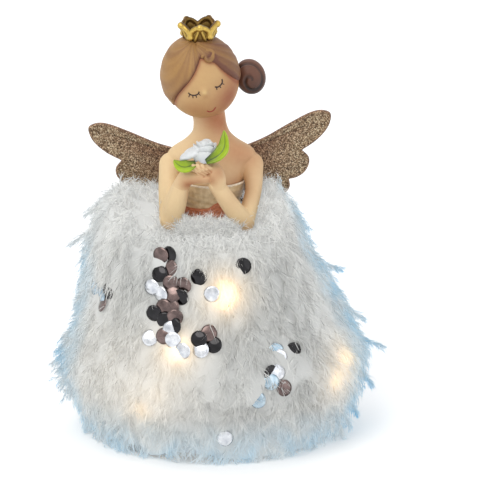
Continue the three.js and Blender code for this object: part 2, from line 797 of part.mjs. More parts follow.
function collarForm() {
  // The top row rises behind the arms and stays low in front, where the elbows rest on it.
  const section = (angle) => {
    const facing = Math.cos(angle - front);
    const low = THREE.MathUtils.smoothstep(facing, 0.25, 0.85);
    const crest = featherTopHeight + (featherFrontHeight - featherTopHeight) * low;
    const out = 1 + tuft(angle, 2);
    const drop = featherCollarHeight - featherDroop;
    const waist = featherWaistRadius;
    const shoulder = crest - featherDroop;
    const rim = outlineAt(featherTopHeight, angle);
    return [
      [outlineAt(drop, angle) * out + featherStep, drop],
      [outlineAt((drop + shoulder) / 2, angle) * out, (drop + shoulder) / 2],
      [outlineAt(shoulder, angle) * out, shoulder],
      [rim * out * (1 - 0.12 * low), crest - featherDroop / 3],
      [(waist + rim) / 2, crest],
      [waist + seatGap, crest - featherDroop / 3],
      [waist, coreTop],
      ...featherInside(featherCollarHeight, fabricTop),
    ];
  };
  return ringedSection(section);
}

function makeFeathers(collarTools) {
  const hem = featherRow(featherHemHeight, featherMiddleHeight - seatGap, 0, 0);
  const middle = featherRow(featherMiddleHeight, featherUpperHeight - seatGap, 1.5, featherStep);
  const upper = featherRow(featherUpperHeight, featherCollarHeight - seatGap, 3, featherStep);
  node('feather_hem', hem, featherWhite, model);
  node('feather_middle', middle, featherWhite, model);
  node('feather_upper', upper, featherWhite, model);
  node('feather_collar', surface(carve(solid(collarForm()), ...collarTools)), featherWhite, model);
}

// Bust sections: half-width, half-depth, lean to the side and lean forward as shares of shoulderHalf,
// at height shares of bustHeight
const bustShares = [
  [0, 0.485, 0.39, 0, 0], [0.15, 0.5, 0.405, 0, 0], [0.3, 0.58, 0.47, 0, -0.03],
  [0.42, 0.62, 0.455, 0, -0.03], [0.53, 0.69, 0.41, 0, 0], [0.6, 0.74, 0.38, 0, 0.01],
  [0.645, 0.72, 0.36, 0, 0.01], [0.69, 0.63, 0.345, 0, 0.01], [0.76, 0.46, 0.32, -0.01, 0],
  [0.81, 0.37, 0.305, -0.015, -0.02], [0.88, 0.305, 0.29, -0.04, -0.04],
  [1, 0.285, 0.28, -0.1, -0.08], [1.1, 0.285, 0.28, -0.15, -0.12],
];

function bustPoint(share, angle, grow) {
  const [wide, deep, side, forward] = smooth(bustShares, share);
  return new THREE.Vector3(
    side * shoulderHalf + (wide * shoulderHalf + grow) * Math.cos(angle),
    forward * shoulderHalf + (deep * shoulderHalf + grow) * Math.sin(angle),
    bustBottom + share * bustHeight,
  );
}

const bustSides = 24;
const bustRing = (share, grow) => Array.from({ length: bustSides }, (_, side) => (
  bustPoint(share, 2 * Math.PI * side / bustSides, grow)
));

function bustForm(grow, first = 0, last = 1.1, rows = 14) {
  const shares = Array.from({ length: rows + 1 }, (_, row) => first + (last - first) * row / rows);
  return skin(shares.map((share) => bustRing(share, grow)));
}

// Bodice: its top edge runs low in front and rises to the arms
const bodiceLowShare = 0.035;
const bodiceFrontShare = 0.33;
const bodiceSideShare = 0.4;

function makeBodice() {
  const edgeShare = (angle) => {
    const sideways = Math.cos(angle) ** 2;
    return bodiceFrontShare + (bodiceSideShare - bodiceFrontShare) * sideways;
  };
  const ring = (share, grow) => Array.from({ length: bustSides }, (_, side) => {
    const angle = 2 * Math.PI * side / bustSides;
    return bustPoint(bodiceLowShare + (edgeShare(angle) - bodiceLowShare) * share, angle, grow);
  });
  const panel = seatGap + bodiceThickness;
  const trim = seatGap + trimThickness;
  const rows = [
    [0, panel], [0.4, panel], [0.84, panel], [0.86, trim], [0.97, trim], [1, panel],
    [1, seatGap], [0.66, seatGap], [0.33, seatGap], [0, seatGap],
  ];
  node('bodice', skin(rows.map(([share, grow]) => ring(share, grow)), true), pearlPaint, model);

  const sashInner = panel + seatGap;
  const sashShare = sashHeight / bustHeight;
  const sashRows = [
    [0, 0.6], [0.2, 1], [0.5, 0.7], [0.8, 1], [1, 0.6], [1, 0], [0, 0],
  ].map(([up, out]) => bustRing(bodiceLowShare + up * sashShare, sashInner + out * sashThickness));
  node('sash', skin(sashRows, true), sashPaint, model);
}

// Arms: places as shares of shoulderHalf sideways, armDepth forward and bustHeight up from the bust's
// foot, and the way that the fingers lie beside each other
const armPlace = ([across, forward, up]) => new THREE.Vector3(
  across * shoulderHalf, -forward * armDepth, bustBottom + up * bustHeight,
);
const armShares = {
  left: {
    shoulder: [-0.83, -0.03, 0.53], elbow: [-0.81, 0.57, 0.035], wrist: [-0.56, 0.86, 0.42],
    palm: [-0.43, 0.9, 0.5], fingerRoot: [-0.3, 0.86, 0.545], fingerTip: [-0.08, 0.83, 0.59],
    thumbRoot: [-0.47, 0.98, 0.52], thumbTip: [-0.36, 1.05, 0.6],
  },
  right: {
    shoulder: [0.8, -0.03, 0.53], elbow: [0.64, 0.62, 0.02], wrist: [0.06, 0.93, 0.43],
    palm: [-0.06, 1, 0.5], fingerRoot: [-0.2, 1.04, 0.52], fingerTip: [-0.47, 1.09, 0.555],
    thumbRoot: [0.02, 0.96, 0.53], thumbTip: [-0.04, 0.9, 0.6],
  },
};
const fingerSideShares = { left: [0.93, -0.37], right: [0.46, -0.89] };

function armForm(hand, grow) {
  const places = {};
  for (const [name, shares] of Object.entries(armShares[hand])) places[name] = armPlace(shares);
  const { shoulder, elbow, wrist, palm, fingerRoot, fingerTip, thumbRoot, thumbTip } = places;
  const parts = [
    limb(shoulder, elbow, upperArmRadius + grow, elbowRadius + grow, 14),
    limb(elbow, wrist, elbowRadius + grow, wristRadius + grow, 12),
    limb(wrist, palm, wristRadius + grow, palmRadius + grow, 8, smallDomeShares),
    limb(thumbRoot, thumbTip, thumbRadius + grow, fingerRadius + grow, 6, smallDomeShares),
  ];
  const fingers = 4;
  const [sideY, sideZ] = fingerSideShares[hand];
  for (let finger = 0; finger < fingers; finger++) {
    const step = finger - (fingers - 1) / 2;
    const shift = new THREE.Vector3(0, sideY, sideZ).multiplyScalar(step * fingerSpacing);
    const curl = 1 - 0.12 * Math.abs(step);
    const root = palm.clone().lerp(fingerRoot, 0.5).add(shift);
    const tip = fingerRoot.clone().lerp(fingerTip, curl).add(shift);
    parts.push(limb(root, tip, fingerRadius + grow, fingerRadius + grow, 6, smallDomeShares));
  }
  return join(...parts.map(solid));
}

// Head, in its own frame: the face looks along -Y
const headCentre = new THREE.Vector3(
  -0.21 * shoulderHalf, -0.18 * armDepth, bustTop + headHalfHeight,
);

function headPoint(direction, grow) {
  const low = Math.max(-direction.z, 0);
  const facing = Math.max(-direction.y, 0);
  const jaw = 1 - 0.15 * low * low;
  const nose = Math.exp(-((direction.x / 0.11) ** 2 + ((direction.z + 0.17) / 0.13) ** 2)) * facing;
  const chin = Math.exp(-((direction.x / 0.25) ** 2 + ((direction.z + 0.8) / 0.16) ** 2)) * facing;
  const cheeks = 0.03 * Math.exp(-(((direction.z + 0.4) / 0.25) ** 2)) * facing;
  return new THREE.Vector3(
    direction.x * headHalfWidth * jaw * (1 + cheeks),
    direction.y * headHalfDepth * (1 - 0.1 * low * low) - noseReach * nose - noseReach * 0.6 * chin,
    direction.z * headHalfHeight * (1 + 0.08 * low),
  ).addScaledVector(direction, grow);
}

function roundForm(columns, rows, shape) {
  // Points on a ball, closer together in front, moved by a shape function.
  const rings = [[shape(new THREE.Vector3(0, 0, -1))]];
  for (let row = 1; row < rows; row++) {
    const fall = Math.PI * (1 - row / rows);
    rings.push(Array.from({ length: columns }, (_, column) => {
      const u = 2 * column / columns - 1;
      const angle = Math.PI * (0.62 * u + 0.38 * u ** 3);
      return shape(new THREE.Vector3(
        Math.sin(fall) * Math.sin(angle), -Math.sin(fall) * Math.cos(angle), Math.cos(fall),
      ));
    }));
  }
  rings.push([shape(new THREE.Vector3(0, 0, 1))]);
  return skin(rings);
}

const headForm = (grow) => roundForm(26, 14, (direction) => headPoint(direction, grow));

function hairForm(grow) {
  // Combed locks run from the parting down both sides.
  return roundForm(26, 12, (direction) => {
    const comb = Math.cos(9 * Math.atan2(direction.z, direction.y + 0.35));
    const size = hairThickness + hairGroove * comb * (1 - direction.z ** 2) + grow;
    return new THREE.Vector3(
      direction.x * headHalfWidth, direction.y * headHalfDepth, direction.z * headHalfHeight,
    ).addScaledVector(direction, size);
  });
}

// Face window in the hair, as shares of the head's half-width and half-height, seen from the front
const faceWindowShares = [
  [0.2, 0.74], [-0.12, 0.6], [-0.42, 0.26], [-0.64, -0.22], [-0.77, -0.62], [-0.8, -1.4],
  [1.6, -1.4], [1.6, -0.2], [1.08, -0.08], [0.74, 0.36], [0.48, 0.6],
];

function makeHead() {
  const group = new THREE.Group();
  group.position.copy(headCentre);
  group.rotation.set(headBow, headTilt, headTurn, 'YZX');
  group.updateMatrix();
  model.add(group);

  node('head', headForm(0), skinPaint, group);

  const outline = new THREE.Shape(faceWindowShares.map(([x, z]) => (
    new THREE.Vector2(x * headHalfWidth, z * headHalfHeight)
  )));
  const windowDepth = headHalfDepth + 2 * hairThickness + overrun;
  const sideLine = 0.12 * headHalfDepth;
  const window = new THREE.ExtrudeGeometry(outline, { depth: windowDepth, bevelEnabled: false })
    .rotateX(90 * degrees).translate(0, sideLine, 0);
  const napeWidth = 3 * headHalfWidth;
  const nape = block(napeWidth, napeWidth, headHalfHeight, 0, 0, -1.62 * headHalfHeight);
  const hair = carve(solid(hairForm(0)), solid(headForm(seatGap)), solid(window), solid(nape));
  node('hair', surface(hair), hairPaint, group);

  // The bun is a rolled coil whose spiral shows from the front
  const bunDirection = new THREE.Vector3(0.905, 0.3, -0.42).normalize();
  const bunReach = headHalfWidth + hairThickness + 0.92 * bunRadius;
  const bunCentre = bunDirection.clone().multiplyScalar(bunReach);
  const bun = roundForm(18, 10, (direction) => {
    const outFromAxis = Math.acos(THREE.MathUtils.clamp(-direction.y, -1, 1));
    const spiral = Math.cos(4 * outFromAxis - Math.atan2(direction.z, direction.x));
    const size = bunGroove * spiral * Math.sin(outFromAxis);
    return new THREE.Vector3(
      direction.x * bunRadius, direction.y * bunRadius, direction.z * bunHalfHeight,
    ).addScaledVector(direction, size).add(bunCentre);
  });
  node('hair_bun', surface(carve(solid(bun), solid(hairForm(seatGap)))), bunPaint, group);

  const crownFrame = new THREE.Matrix4().makeRotationY(crownLean);
  const crown = solid(crownForm().applyMatrix4(crownFrame));
  node('crown', surface(carve(crown, solid(hairForm(seatGap)))), goldPaint, group);
  return group.matrix;
}

function crownForm() {
  // A flared ring with lobes that end in small balls, and a band of the same metal round its foot.
  const foot = headHalfHeight + hairThickness - 3 * crownWall;
  const stepsPerLobe = 6;
  const sides = crownLobes * stepsPerLobe;
  const lobeTop = (angle) => {
    const wave = Math.abs(Math.cos(crownLobes * (angle - front) / 2 + Math.PI / 2));
    return crownHeight * (0.42 + 0.46 * wave ** 0.7);
  };
  const row = (share, inset) => Array.from({ length: sides }, (_, side) => {
    const angle = front + 2 * Math.PI * side / sides;
    const flare = crownBaseRadius + (crownTopRadius - crownBaseRadius) * share ** 1.5;
    const radius = flare - inset;
    const height = foot + lobeTop(angle) * share;
    return new THREE.Vector3(radius * Math.cos(angle), radius * Math.sin(angle), height);
  });
  const band = -crownWall / 2;
  const wall = skin([
    row(0, band), row(0.24, band), row(0.27, 0), row(0.6, 0), row(1, 0), row(1, crownWall), row(0, crownWall),
  ], true);
  const balls = [];
  for (let lobe = 0; lobe < crownLobes; lobe++) {
    const tip = front + 2 * Math.PI * (lobe + 0.5) / crownLobes;
    const tipRadius = crownTopRadius - crownWall / 2;
    const tipHeight = foot + crownHeight - crownBallRadius;
    const place = new THREE.Vector3(tipRadius * Math.cos(tip), tipRadius * Math.sin(tip), tipHeight);
    balls.push(ball(crownBallRadius, place, 6, 4));
  }
  const notch = new THREE.Vector3(0, -crownBaseRadius - crownWall / 3, foot + 0.42 * crownHeight);
  balls.push(ball(crownBallRadius, notch, 6, 4));
  return surface(join(solid(wall), ...balls.map(solid)));
}

// Wings: outline as shares of wingLength outwards and wingHeight upwards, in three lobes with sharp notches
const upperLobeShares = [
  [0.07, 0.57], [0.22, 0.63], [0.4, 0.72], [0.61, 0.86], [0.79, 0.97], [0.9, 1], [0.985, 0.97],
  [0.99, 0.88], [0.95, 0.78], [0.86, 0.67], [0.74, 0.574],
];
const middleLobeShares = [
  [0.74, 0.574], [0.8, 0.51], [0.81, 0.43], [0.77, 0.34], [0.7, 0.285], [0.63, 0.265],
];
const lowerLobeShares = [
  [0.63, 0.265], [0.64, 0.19], [0.6, 0.12], [0.47, 0.04], [0.28, 0], [0.1, 0.08], [0.01, 0.26], [0.02, 0.46],
  [0.07, 0.57],
];

function wingForm() {
  const lobes = [upperLobeShares, middleLobeShares, lowerLobeShares];
  const outline = new THREE.Shape();
  const place = ([out, up]) => new THREE.Vector2(out * wingLength, up * wingHeight);
  outline.moveTo(place(upperLobeShares[0]).x, place(upperLobeShares[0]).y);
  for (const shares of lobes) outline.splineThru(shares.slice(1).map(place));
  const plate = wingThickness - 2 * wingBevel;
  const form = new THREE.ExtrudeGeometry(outline, {
    depth: plate, bevelThickness: wingBevel, bevelSize: wingBevel, bevelOffset: -wingBevel,
    bevelSegments: 1, curveSegments: 2,
  });
  return form.rotateX(90 * degrees).translate(0, plate + wingBevel, 0);
}

const wingRoot = new THREE.Vector3(
  0.19 * shoulderHalf, 0.5 * shoulderHalf, bustBottom + 0.04 * bustHeight,
);
const pegPlace = { out: 0.08 * wingLength, up: 0.42 * wingHeight };

function wingFrame(side) {
  const pivot = new THREE.Vector3(0, 0, pegPlace.up);
  const drop = side < 0 ? leftWingDrop : 0;
  const frame = new THREE.Matrix4().makeTranslation(wingRoot.x, wingRoot.y, wingRoot.z + pivot.z);
  frame.multiply(new THREE.Matrix4().makeRotationZ(wingSweep));
  frame.multiply(new THREE.Matrix4().makeRotationY(drop));
  frame.multiply(new THREE.Matrix4().makeTranslation(0, 0, -pivot.z));
  return frame;
}

function mirrored(geometry) {
  const flipped = mergeVertices(geometry.clone().scale(-1, 1, 1));
  const index = [...flipped.index.array];
  for (let i = 0; i < index.length; i += 3) [index[i + 1], index[i + 2]] = [index[i + 2], index[i + 1]];
  flipped.setIndex(index);
  return flipped;
}

function wingPeg(grow) {
  // The peg that seats the wing in the back of the bust.
  return limb(
    new THREE.Vector3(pegPlace.out, wingThickness / 2, pegPlace.up),
    new THREE.Vector3(pegPlace.out, -wingPegLength, pegPlace.up),
    wingPegRadius + grow, wingPegRadius + grow, 10, smallDomeShares,
  );
}

function placedAtWing(side, geometry) {
  const placed = geometry.applyMatrix4(wingFrame(side));
  return side < 0 ? mirrored(placed) : placed;
}

const wingSlot = () => block(
  wingLength, wingThickness + 2 * seatGap, wingHeight + overrun,
  wingLength / 2 - seatGap, wingThickness / 2, -seatGap - wingBevel,
);

// Rose: petals on a turned cup form, opened by layers; the leaves come out from under it
const roseCentre = new THREE.Vector3(-0.22 * shoulderHalf, -0.99 * armDepth, bustBottom + 0.635 * bustHeight);

function petal(facing, layer) {
  const columns = 4;
  const rows = 2;
  const reach = layer.reachShare * roseRadius;
  const height = layer.heightShare * roseHeight;
  const place = (column, row, outside) => {
    const u = 2 * column / columns - 1;
    const v = row / rows;
    const halfAngle = 0.62 * (0.35 + 0.65 * Math.sin(Math.PI * (0.2 + 0.6 * v)));
    const frill = 0.07 * roseHeight * Math.cos(3 * u + 5 * facing) * v * v;
    const face = outside ? petalThickness : 0;
    const radius = reach * (0.15 + 0.85 * v ** layer.openness - 0.12 * u * u * v) + face;
    const lift = height * v ** (1 / layer.openness) * (1 - 0.16 * u * u) + frill;
    const angle = facing + u * halfAngle;
    return new THREE.Vector3(radius * Math.cos(angle), radius * Math.sin(angle), lift);
  };
  const rings = [];
  for (let row = 0; row <= rows; row++) {
    const ring = [];
    for (let column = 0; column <= columns; column++) ring.push(place(column, row, false));
    for (let column = columns; column >= 0; column--) ring.push(place(column, row, true));
    rings.push(ring);
  }
  return skin(rings);
}

const roseLayers = [
  { petals: 5, openness: 0.75, reachShare: 0.9, heightShare: 0.5, turn: 0 },
  { petals: 4, openness: 1.1, reachShare: 0.6, heightShare: 0.78, turn: 0.5 },
  { petals: 3, openness: 1.7, reachShare: 0.34, heightShare: 0.98, turn: 1.1 },
];

function roseForm() {
  const cup = turned([
    [0, 0], [0.34 * roseRadius, 0], [0.5 * roseRadius, 0.2 * roseHeight],
    [0.22 * roseRadius, 0.75 * roseHeight], [0, 0.85 * roseHeight],
  ], 8);
  const petals = roseLayers.flatMap((layer) => (
    Array.from({ length: layer.petals }, (_, i) => petal(layer.turn + 2 * Math.PI * i / layer.petals, layer))
  ));
  const flower = surface(join(solid(cup), ...petals.map(solid)));
  return solid(flower.translate(roseCentre.x, roseCentre.y, roseCentre.z));
}

function leafForm(root, length, direction, face) {
  // A pointed leaf, folded a little along its midrib.
  const along = direction.clone().normalize();
  const across = new THREE.Vector3().crossVectors(along, face).normalize();
  const outwards = new THREE.Vector3().crossVectors(across, along).normalize();
  const rows = 5;
  const rings = [];
  for (let row = 0; row <= rows; row++) {
    const share = row / rows;
    const swell = Math.sin(Math.PI * Math.min(share * 0.9 + 0.06, 1)) ** 0.8;
    const half = leafHalfWidth * (0.12 + 0.88 * swell);
    const curve = 0.14 * length * Math.sin(Math.PI * share);
    const middle = root.clone().addScaledVector(along, length * share)
      .addScaledVector(outwards, curve);
    const edge = (side, lift) => middle.clone().addScaledVector(across, side * half)
      .addScaledVector(outwards, lift);
    const fold = 0.35 * half;
    const top = leafThickness;
    rings.push([
      edge(-1, fold), edge(0, 0), edge(1, fold), edge(1, fold + top), edge(0, top), edge(-1, fold + top),
    ]);
  }
  return solid(skin(rings));
}

// The leaves leave the flower's foot: one to the left below the petals, one up on the right beside them
const leafRoots = {
  left: new THREE.Vector3(-0.58 * roseRadius, -0.2 * roseRadius, -0.08 * roseHeight).add(roseCentre),
  right: new THREE.Vector3(
    roseRadius + petalThickness + 0.2 * leafHalfWidth, 0.1 * roseRadius, -0.05 * roseHeight,
  ).add(roseCentre),
};
const leafDirections = {
  left: new THREE.Vector3(-1, -0.05, 0.16),
  right: new THREE.Vector3(0.16, 0, 1),
};
const leafLengths = { left: leftLeafLength, right: rightLeafLength };

// Assembly

makeFeet();
makeBoard();
makeBox();
makeCover();
makeCells();
makeSwitch();
makeCore();
makeLights();
makeFabric();

const headMatrix = makeHead();
const headTool = solid(headForm(seatGap).applyMatrix4(headMatrix));
const wingSides = { left: -1, right: 1 };
const pegTools = Object.values(wingSides).map((side) => solid(placedAtWing(side, wingPeg(seatGap))));
const slotTools = Object.values(wingSides).map((side) => solid(placedAtWing(side, wingSlot())));
const dowelBore = rod(dowelRadius + seatGap, dowelRise + seatGap + overrun, 18, 0, 0, bustBottom - overrun);
const torso = carve(solid(bustForm(0)), headTool, solid(dowelBore), ...pegTools);
node('torso', surface(torso), skinPaint, model);
makeBodice();

const torsoTool = solid(bustForm(seatGap));
const bodiceTool = solid(bustForm(2 * seatGap + trimThickness, 0, bodiceSideShare + 0.02, 8));
const sashReach = 3 * seatGap + bodiceThickness + sashThickness;
const sashTool = solid(bustForm(sashReach, 0, bodiceLowShare + sashHeight / bustHeight, 3));
const elbowTools = [];
for (const hand of ['left', 'right']) {
  const otherArm = hand === 'right' ? [solid(surface(armForm('left', seatGap)))] : [];
  const arm = carve(armForm(hand, 0), torsoTool, bodiceTool, sashTool, ...otherArm);
  node(`arm_${hand}`, surface(arm), skinPaint, model);
  const { shoulder, elbow, wrist } = armShares[hand];
  const [elbowReach, wristReach] = [elbowRadius + seatGap, wristRadius + seatGap];
  elbowTools.push(
    solid(limb(armPlace(shoulder), armPlace(elbow), upperArmRadius + seatGap, elbowReach, 14)),
    solid(limb(armPlace(elbow), armPlace(wrist), elbowReach, wristReach, 12)),
  );
}
node('rose_bloom', surface(roseForm()), rosePaint, model);
const leafFaces = { left: new THREE.Vector3(0, -0.5, 1), right: new THREE.Vector3(0, -1, 0.2) };
for (const hand of ['left', 'right']) {
  const leaf = leafForm(leafRoots[hand], leafLengths[hand], leafDirections[hand], leafFaces[hand]);
  node(`leaf_${hand}`, surface(leaf), leafPaint, model);
}
for (const [hand, side] of Object.entries(wingSides)) {
  const wing = surface(join(solid(wingForm()), solid(wingPeg(0))));
  node(`wing_${hand}`, placedAtWing(side, wing), wingGlitter, model);
}
makeFeathers([...elbowTools, ...slotTools]);

export default model;
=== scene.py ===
"""Lighted angel figurine: a painted resin bust on a bell-shaped skirt of feathers and sequins.

+Z is up and the angel faces -Y. The camera, floor and lamps are in metres. Pieces are written in
millimetres, and are scaled by MM where their meshes and curves are made.
"""

import math

import bpy
import numpy as np
from mathutils import Matrix, Vector


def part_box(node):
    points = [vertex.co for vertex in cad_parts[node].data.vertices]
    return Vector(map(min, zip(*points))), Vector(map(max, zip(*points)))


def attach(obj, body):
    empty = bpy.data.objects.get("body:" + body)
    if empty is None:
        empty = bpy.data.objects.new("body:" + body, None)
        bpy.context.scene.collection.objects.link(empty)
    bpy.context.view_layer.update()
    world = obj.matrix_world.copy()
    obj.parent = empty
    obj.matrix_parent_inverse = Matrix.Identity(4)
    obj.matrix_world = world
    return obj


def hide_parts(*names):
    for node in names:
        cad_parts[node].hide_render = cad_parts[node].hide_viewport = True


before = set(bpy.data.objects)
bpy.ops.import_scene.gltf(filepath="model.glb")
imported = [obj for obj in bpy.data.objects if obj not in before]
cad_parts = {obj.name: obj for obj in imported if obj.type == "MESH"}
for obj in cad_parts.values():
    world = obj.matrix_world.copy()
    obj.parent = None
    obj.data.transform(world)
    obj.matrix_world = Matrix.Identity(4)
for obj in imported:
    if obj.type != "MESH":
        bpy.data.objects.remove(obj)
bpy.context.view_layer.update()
scene = bpy.context.scene
scene.view_settings.view_transform = "Standard"
MM = 0.001


# Camera: level with the middle of the figurine and 15 degrees above it, from far enough away that the
# skirt and the head keep their real proportions.
look_at = Vector((0.014, 0.0, 0.097))
look_down = math.radians(15)
look_distance = 2.0
seen_width = 0.24
camera_data = bpy.data.cameras.new("camera")
camera_data.sensor_width = 36
camera_data.lens = camera_data.sensor_width * look_distance / seen_width
camera = bpy.data.objects.new("camera", camera_data)
camera.location = look_at + look_distance * Vector((0, -math.cos(look_down), math.sin(look_down)))
camera.rotation_euler = (math.pi / 2 - look_down, 0, 0)
scene.collection.objects.link(camera)
scene.camera = camera


# Studio: a plain white floor that runs into a white backdrop, soft lamps from the front and sides, and
# an even sky. The floor keeps the figurine's soft shadow.
def fill(tree, node, sockets):
    """Fills a node's sockets with values, or links them where they get another node's output."""
    for name, value in sockets.items():
        if isinstance(value, bpy.types.NodeSocket):
            tree.links.new(value, node.inputs[name])
        else:
            node.inputs[name].default_value = value


def add_node(tree, kind, sockets, **settings):
    """A new node with its settings made and its sockets filled."""
    node = tree.nodes.new("ShaderNode" + kind)
    for name, setting in settings.items():
        setattr(node, name, setting)
    fill(tree, node, sockets)
    return node


def shade(name):
    """A new finish as its material, its nodes and the place on the object."""
    material = bpy.data.materials.new(name)
    material.use_nodes = True
    tree = material.node_tree
    return material, tree, add_node(tree, "TexCoord", {}).outputs["Object"]


def coat(tree, sockets):
    """Fills the sockets of a finish's shader."""
    fill(tree, tree.nodes["Principled BSDF"], sockets)


def srgb(red, green, blue):
    """A colour as it is seen on a screen, in linear light."""
    shares = [channel / 255 for channel in (red, green, blue)]
    linear = [c / 12.92 if c <= 0.04045 else ((c + 0.055) / 1.055) ** 2.4 for c in shares]
    return (*linear, 1.0)


pure_white = (1, 1, 1, 1)
floor_half = 4.0
floor_corners = [(x * floor_half, y * floor_half, 0) for x, y in ((-1, -1), (1, -1), (1, 1), (-1, 1))]
floor_mesh = bpy.data.meshes.new("floor")
floor_mesh.from_pydata(floor_corners, [], [(0, 1, 2, 3)])
floor = bpy.data.objects.new("floor", floor_mesh)
scene.collection.objects.link(floor)
floor_white, floor_tree, _ = shade("floor white")
coat(floor_tree, {"Base Color": pure_white, "Roughness": 1, "Specular IOR Level": 0,
                  "Emission Color": pure_white, "Emission Strength": 0.1})
floor_mesh.materials.append(floor_white)

sky = bpy.data.worlds.new("sky")
sky.use_nodes = True
scene.world = sky
sky_tree = sky.node_tree
sky_light = sky_tree.nodes["Background"]
fill(sky_tree, sky_light, {"Color": (0.93, 0.96, 1.0, 1), "Strength": 0.62})
sky_seen = add_node(sky_tree, "Background", {"Color": pure_white, "Strength": 1.0})
sky_path = add_node(sky_tree, "LightPath", {})
sky_shown = sky_path.outputs["Is Camera Ray"]
for mirrored_ray in ("Is Glossy Ray", "Is Transmission Ray"):
    either = {0: sky_shown, 1: sky_path.outputs[mirrored_ray]}
    sky_shown = add_node(sky_tree, "Math", either, operation="MAXIMUM").outputs["Value"]
sky_mix = add_node(sky_tree, "MixShader", {"Fac": sky_shown, 1: sky_light.outputs[0], 2: sky_seen.outputs[0]})
fill(sky_tree, sky_tree.nodes["World Output"], {"Surface": sky_mix.outputs["Shader"]})

for lamp_name, lamp_way, lamp_power, lamp_spread, lamp_color in (
    ("lamp_front_left", (0.55, 0.85, -1.0), 1.15, 40, (1.0, 0.97, 0.92)),
    ("lamp_front_right", (-0.9, 0.7, -0.55), 0.45, 60, (0.97, 0.98, 1.0)),
    ("lamp_back", (0.1, -0.35, -1.0), 0.7, 60, (1.0, 1.0, 1.0)),
):
    lamp_data = bpy.data.lights.new(lamp_name, "SUN")
    lamp_data.energy = lamp_power
    lamp_data.angle = math.radians(lamp_spread)
    lamp_data.color = lamp_color
    lamp = bpy.data.objects.new(lamp_name, lamp_data)
    lamp.rotation_euler = Vector(lamp_way).to_track_quat("-Z", "Y").to_euler()
    scene.collection.objects.link(lamp)


# Feet: four round pads of grey needle felt, punched from sheet and glued under the base board. The
# felt's short fibres show as a fine mottle with a soft bump.
def ramp(tree, share, *stops, steps=False):
    """A colour that goes through stops of a share and a colour, smoothly or in steps."""
    node = add_node(tree, "ValToRGB", {"Fac": share})
    scale = node.color_ramp
    scale.interpolation = "CONSTANT" if steps else "LINEAR"
    for element, (position, color) in zip(scale.elements, (stops[0], stops[-1])):
        element.position = position
        element.color = color
    for position, color in stops[1:-1]:
        scale.elements.new(position).color = color
    return node.outputs["Color"]


def relief(tree, height, strength, depth, invert=False):
    """The bumps that a height makes in a surface."""
    bump = {"Strength": strength, "Distance": depth * MM, "Height": height}
    return add_node(tree, "Bump", bump, invert=invert).outputs["Normal"]


def grained(name, dark, light, roughness, grain, bump=0.15, depth=0.2, metal=0.0, detail=5.0):
    """A finish whose colour and height vary with a noise of that grain."""
    material, tree, place = shade(name)
    noise = add_node(tree, "TexNoise", {"Scale": 1 / (grain * MM), "Detail": detail, "Vector": place})
    share = noise.outputs["Fac"]
    coat(tree, {"Base Color": ramp(tree, share, (0.3, dark), (0.7, light)), "Roughness": roughness,
                "Normal": relief(tree, share, bump, depth), "Metallic": metal})
    return material


def dress(material, *names):
    """Gives a finish to solids that keep their shape."""
    for name in names:
        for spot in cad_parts[name].material_slots:
            spot.material = material


felt = grained("felt", srgb(112, 112, 110), srgb(150, 150, 146), 0.95, 0.35, 0.6, 0.3)
dress(felt, *[f"foot_{i}" for i in range(1, 5)])


# Base board, battery box and cover: injection-moulded white plastic with a faint matt texture. The cover
# hangs on two pins at one end, and a steel screw holds the other end.
moulded_white = grained("moulded white", srgb(226, 226, 221), srgb(240, 240, 236), 0.45, 0.6, 0.12, 0.05)
dress(moulded_white, "base_board", "battery_box", "battery_cover", "form_cap")
moulded_black = grained("moulded black", srgb(26, 26, 28), srgb(40, 40, 42), 0.5, 0.5, 0.15, 0.05)
dress(moulded_black, "switch_body", "switch_slider")
plated = grained("plated steel", srgb(168, 170, 175), srgb(205, 206, 210), 0.25, 0.4, 0.1, 0.03, 1.0)
dress(plated, "cover_screw", "contact_single_left", "contact_bridge_left", "contact_bridge_right",
      "contact_single_right")


# Battery cells: three plain cells in a green film wrap with a bare steel nub at one end. A band of the
# wrap is darker towards the flat end.
cell_wrap, cell_tree, cell_place = shade("cell wrap")
cell_split = add_node(cell_tree, "SeparateXYZ", {"Vector": cell_place})
wrap_starts, wrap_ends = -36, 15
cell_along = add_node(cell_tree, "MapRange", {"Value": cell_split.outputs["X"], "From Min": wrap_starts * MM,
                                              "From Max": wrap_ends * MM})
wrap_color = ramp(cell_tree, cell_along.outputs["Result"], (0, srgb(40, 66, 58)), (0.3, srgb(78, 128, 104)),
                  steps=True)
coat(cell_tree, {"Base Color": wrap_color, "Roughness": 0.3})
dress(cell_wrap, "cell_1", "cell_2", "cell_3")


# Springs: conical coils of steel wire that press each cell against its contact plate. Each stands on its
# plate with the wide end.
def poly_tube(name, points, radius, material, cyclic=False, sides=3):
    """A round wire through points, as a curve with a round section."""
    data = bpy.data.curves.new(name, "CURVE")
    data.dimensions = "3D"
    data.bevel_depth = radius * MM
    data.bevel_resolution = sides
    data.use_fill_caps = True
    spline = data.splines.new("POLY")
    spline.points.add(len(points) - 1)
    for point, place in zip(spline.points, np.array(points) * MM):
        point.co = (*place, 1)
    spline.use_cyclic_u = cyclic
    wire = bpy.data.objects.new(name, data)
    scene.collection.objects.link(wire)
    data.materials.append(material)
    return wire


def fix(piece, slot, *nodes):
    """Fixes a piece to the figurine, in place of the solids that it stands for."""
    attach(piece, "root")
    if nodes:
        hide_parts(*nodes)


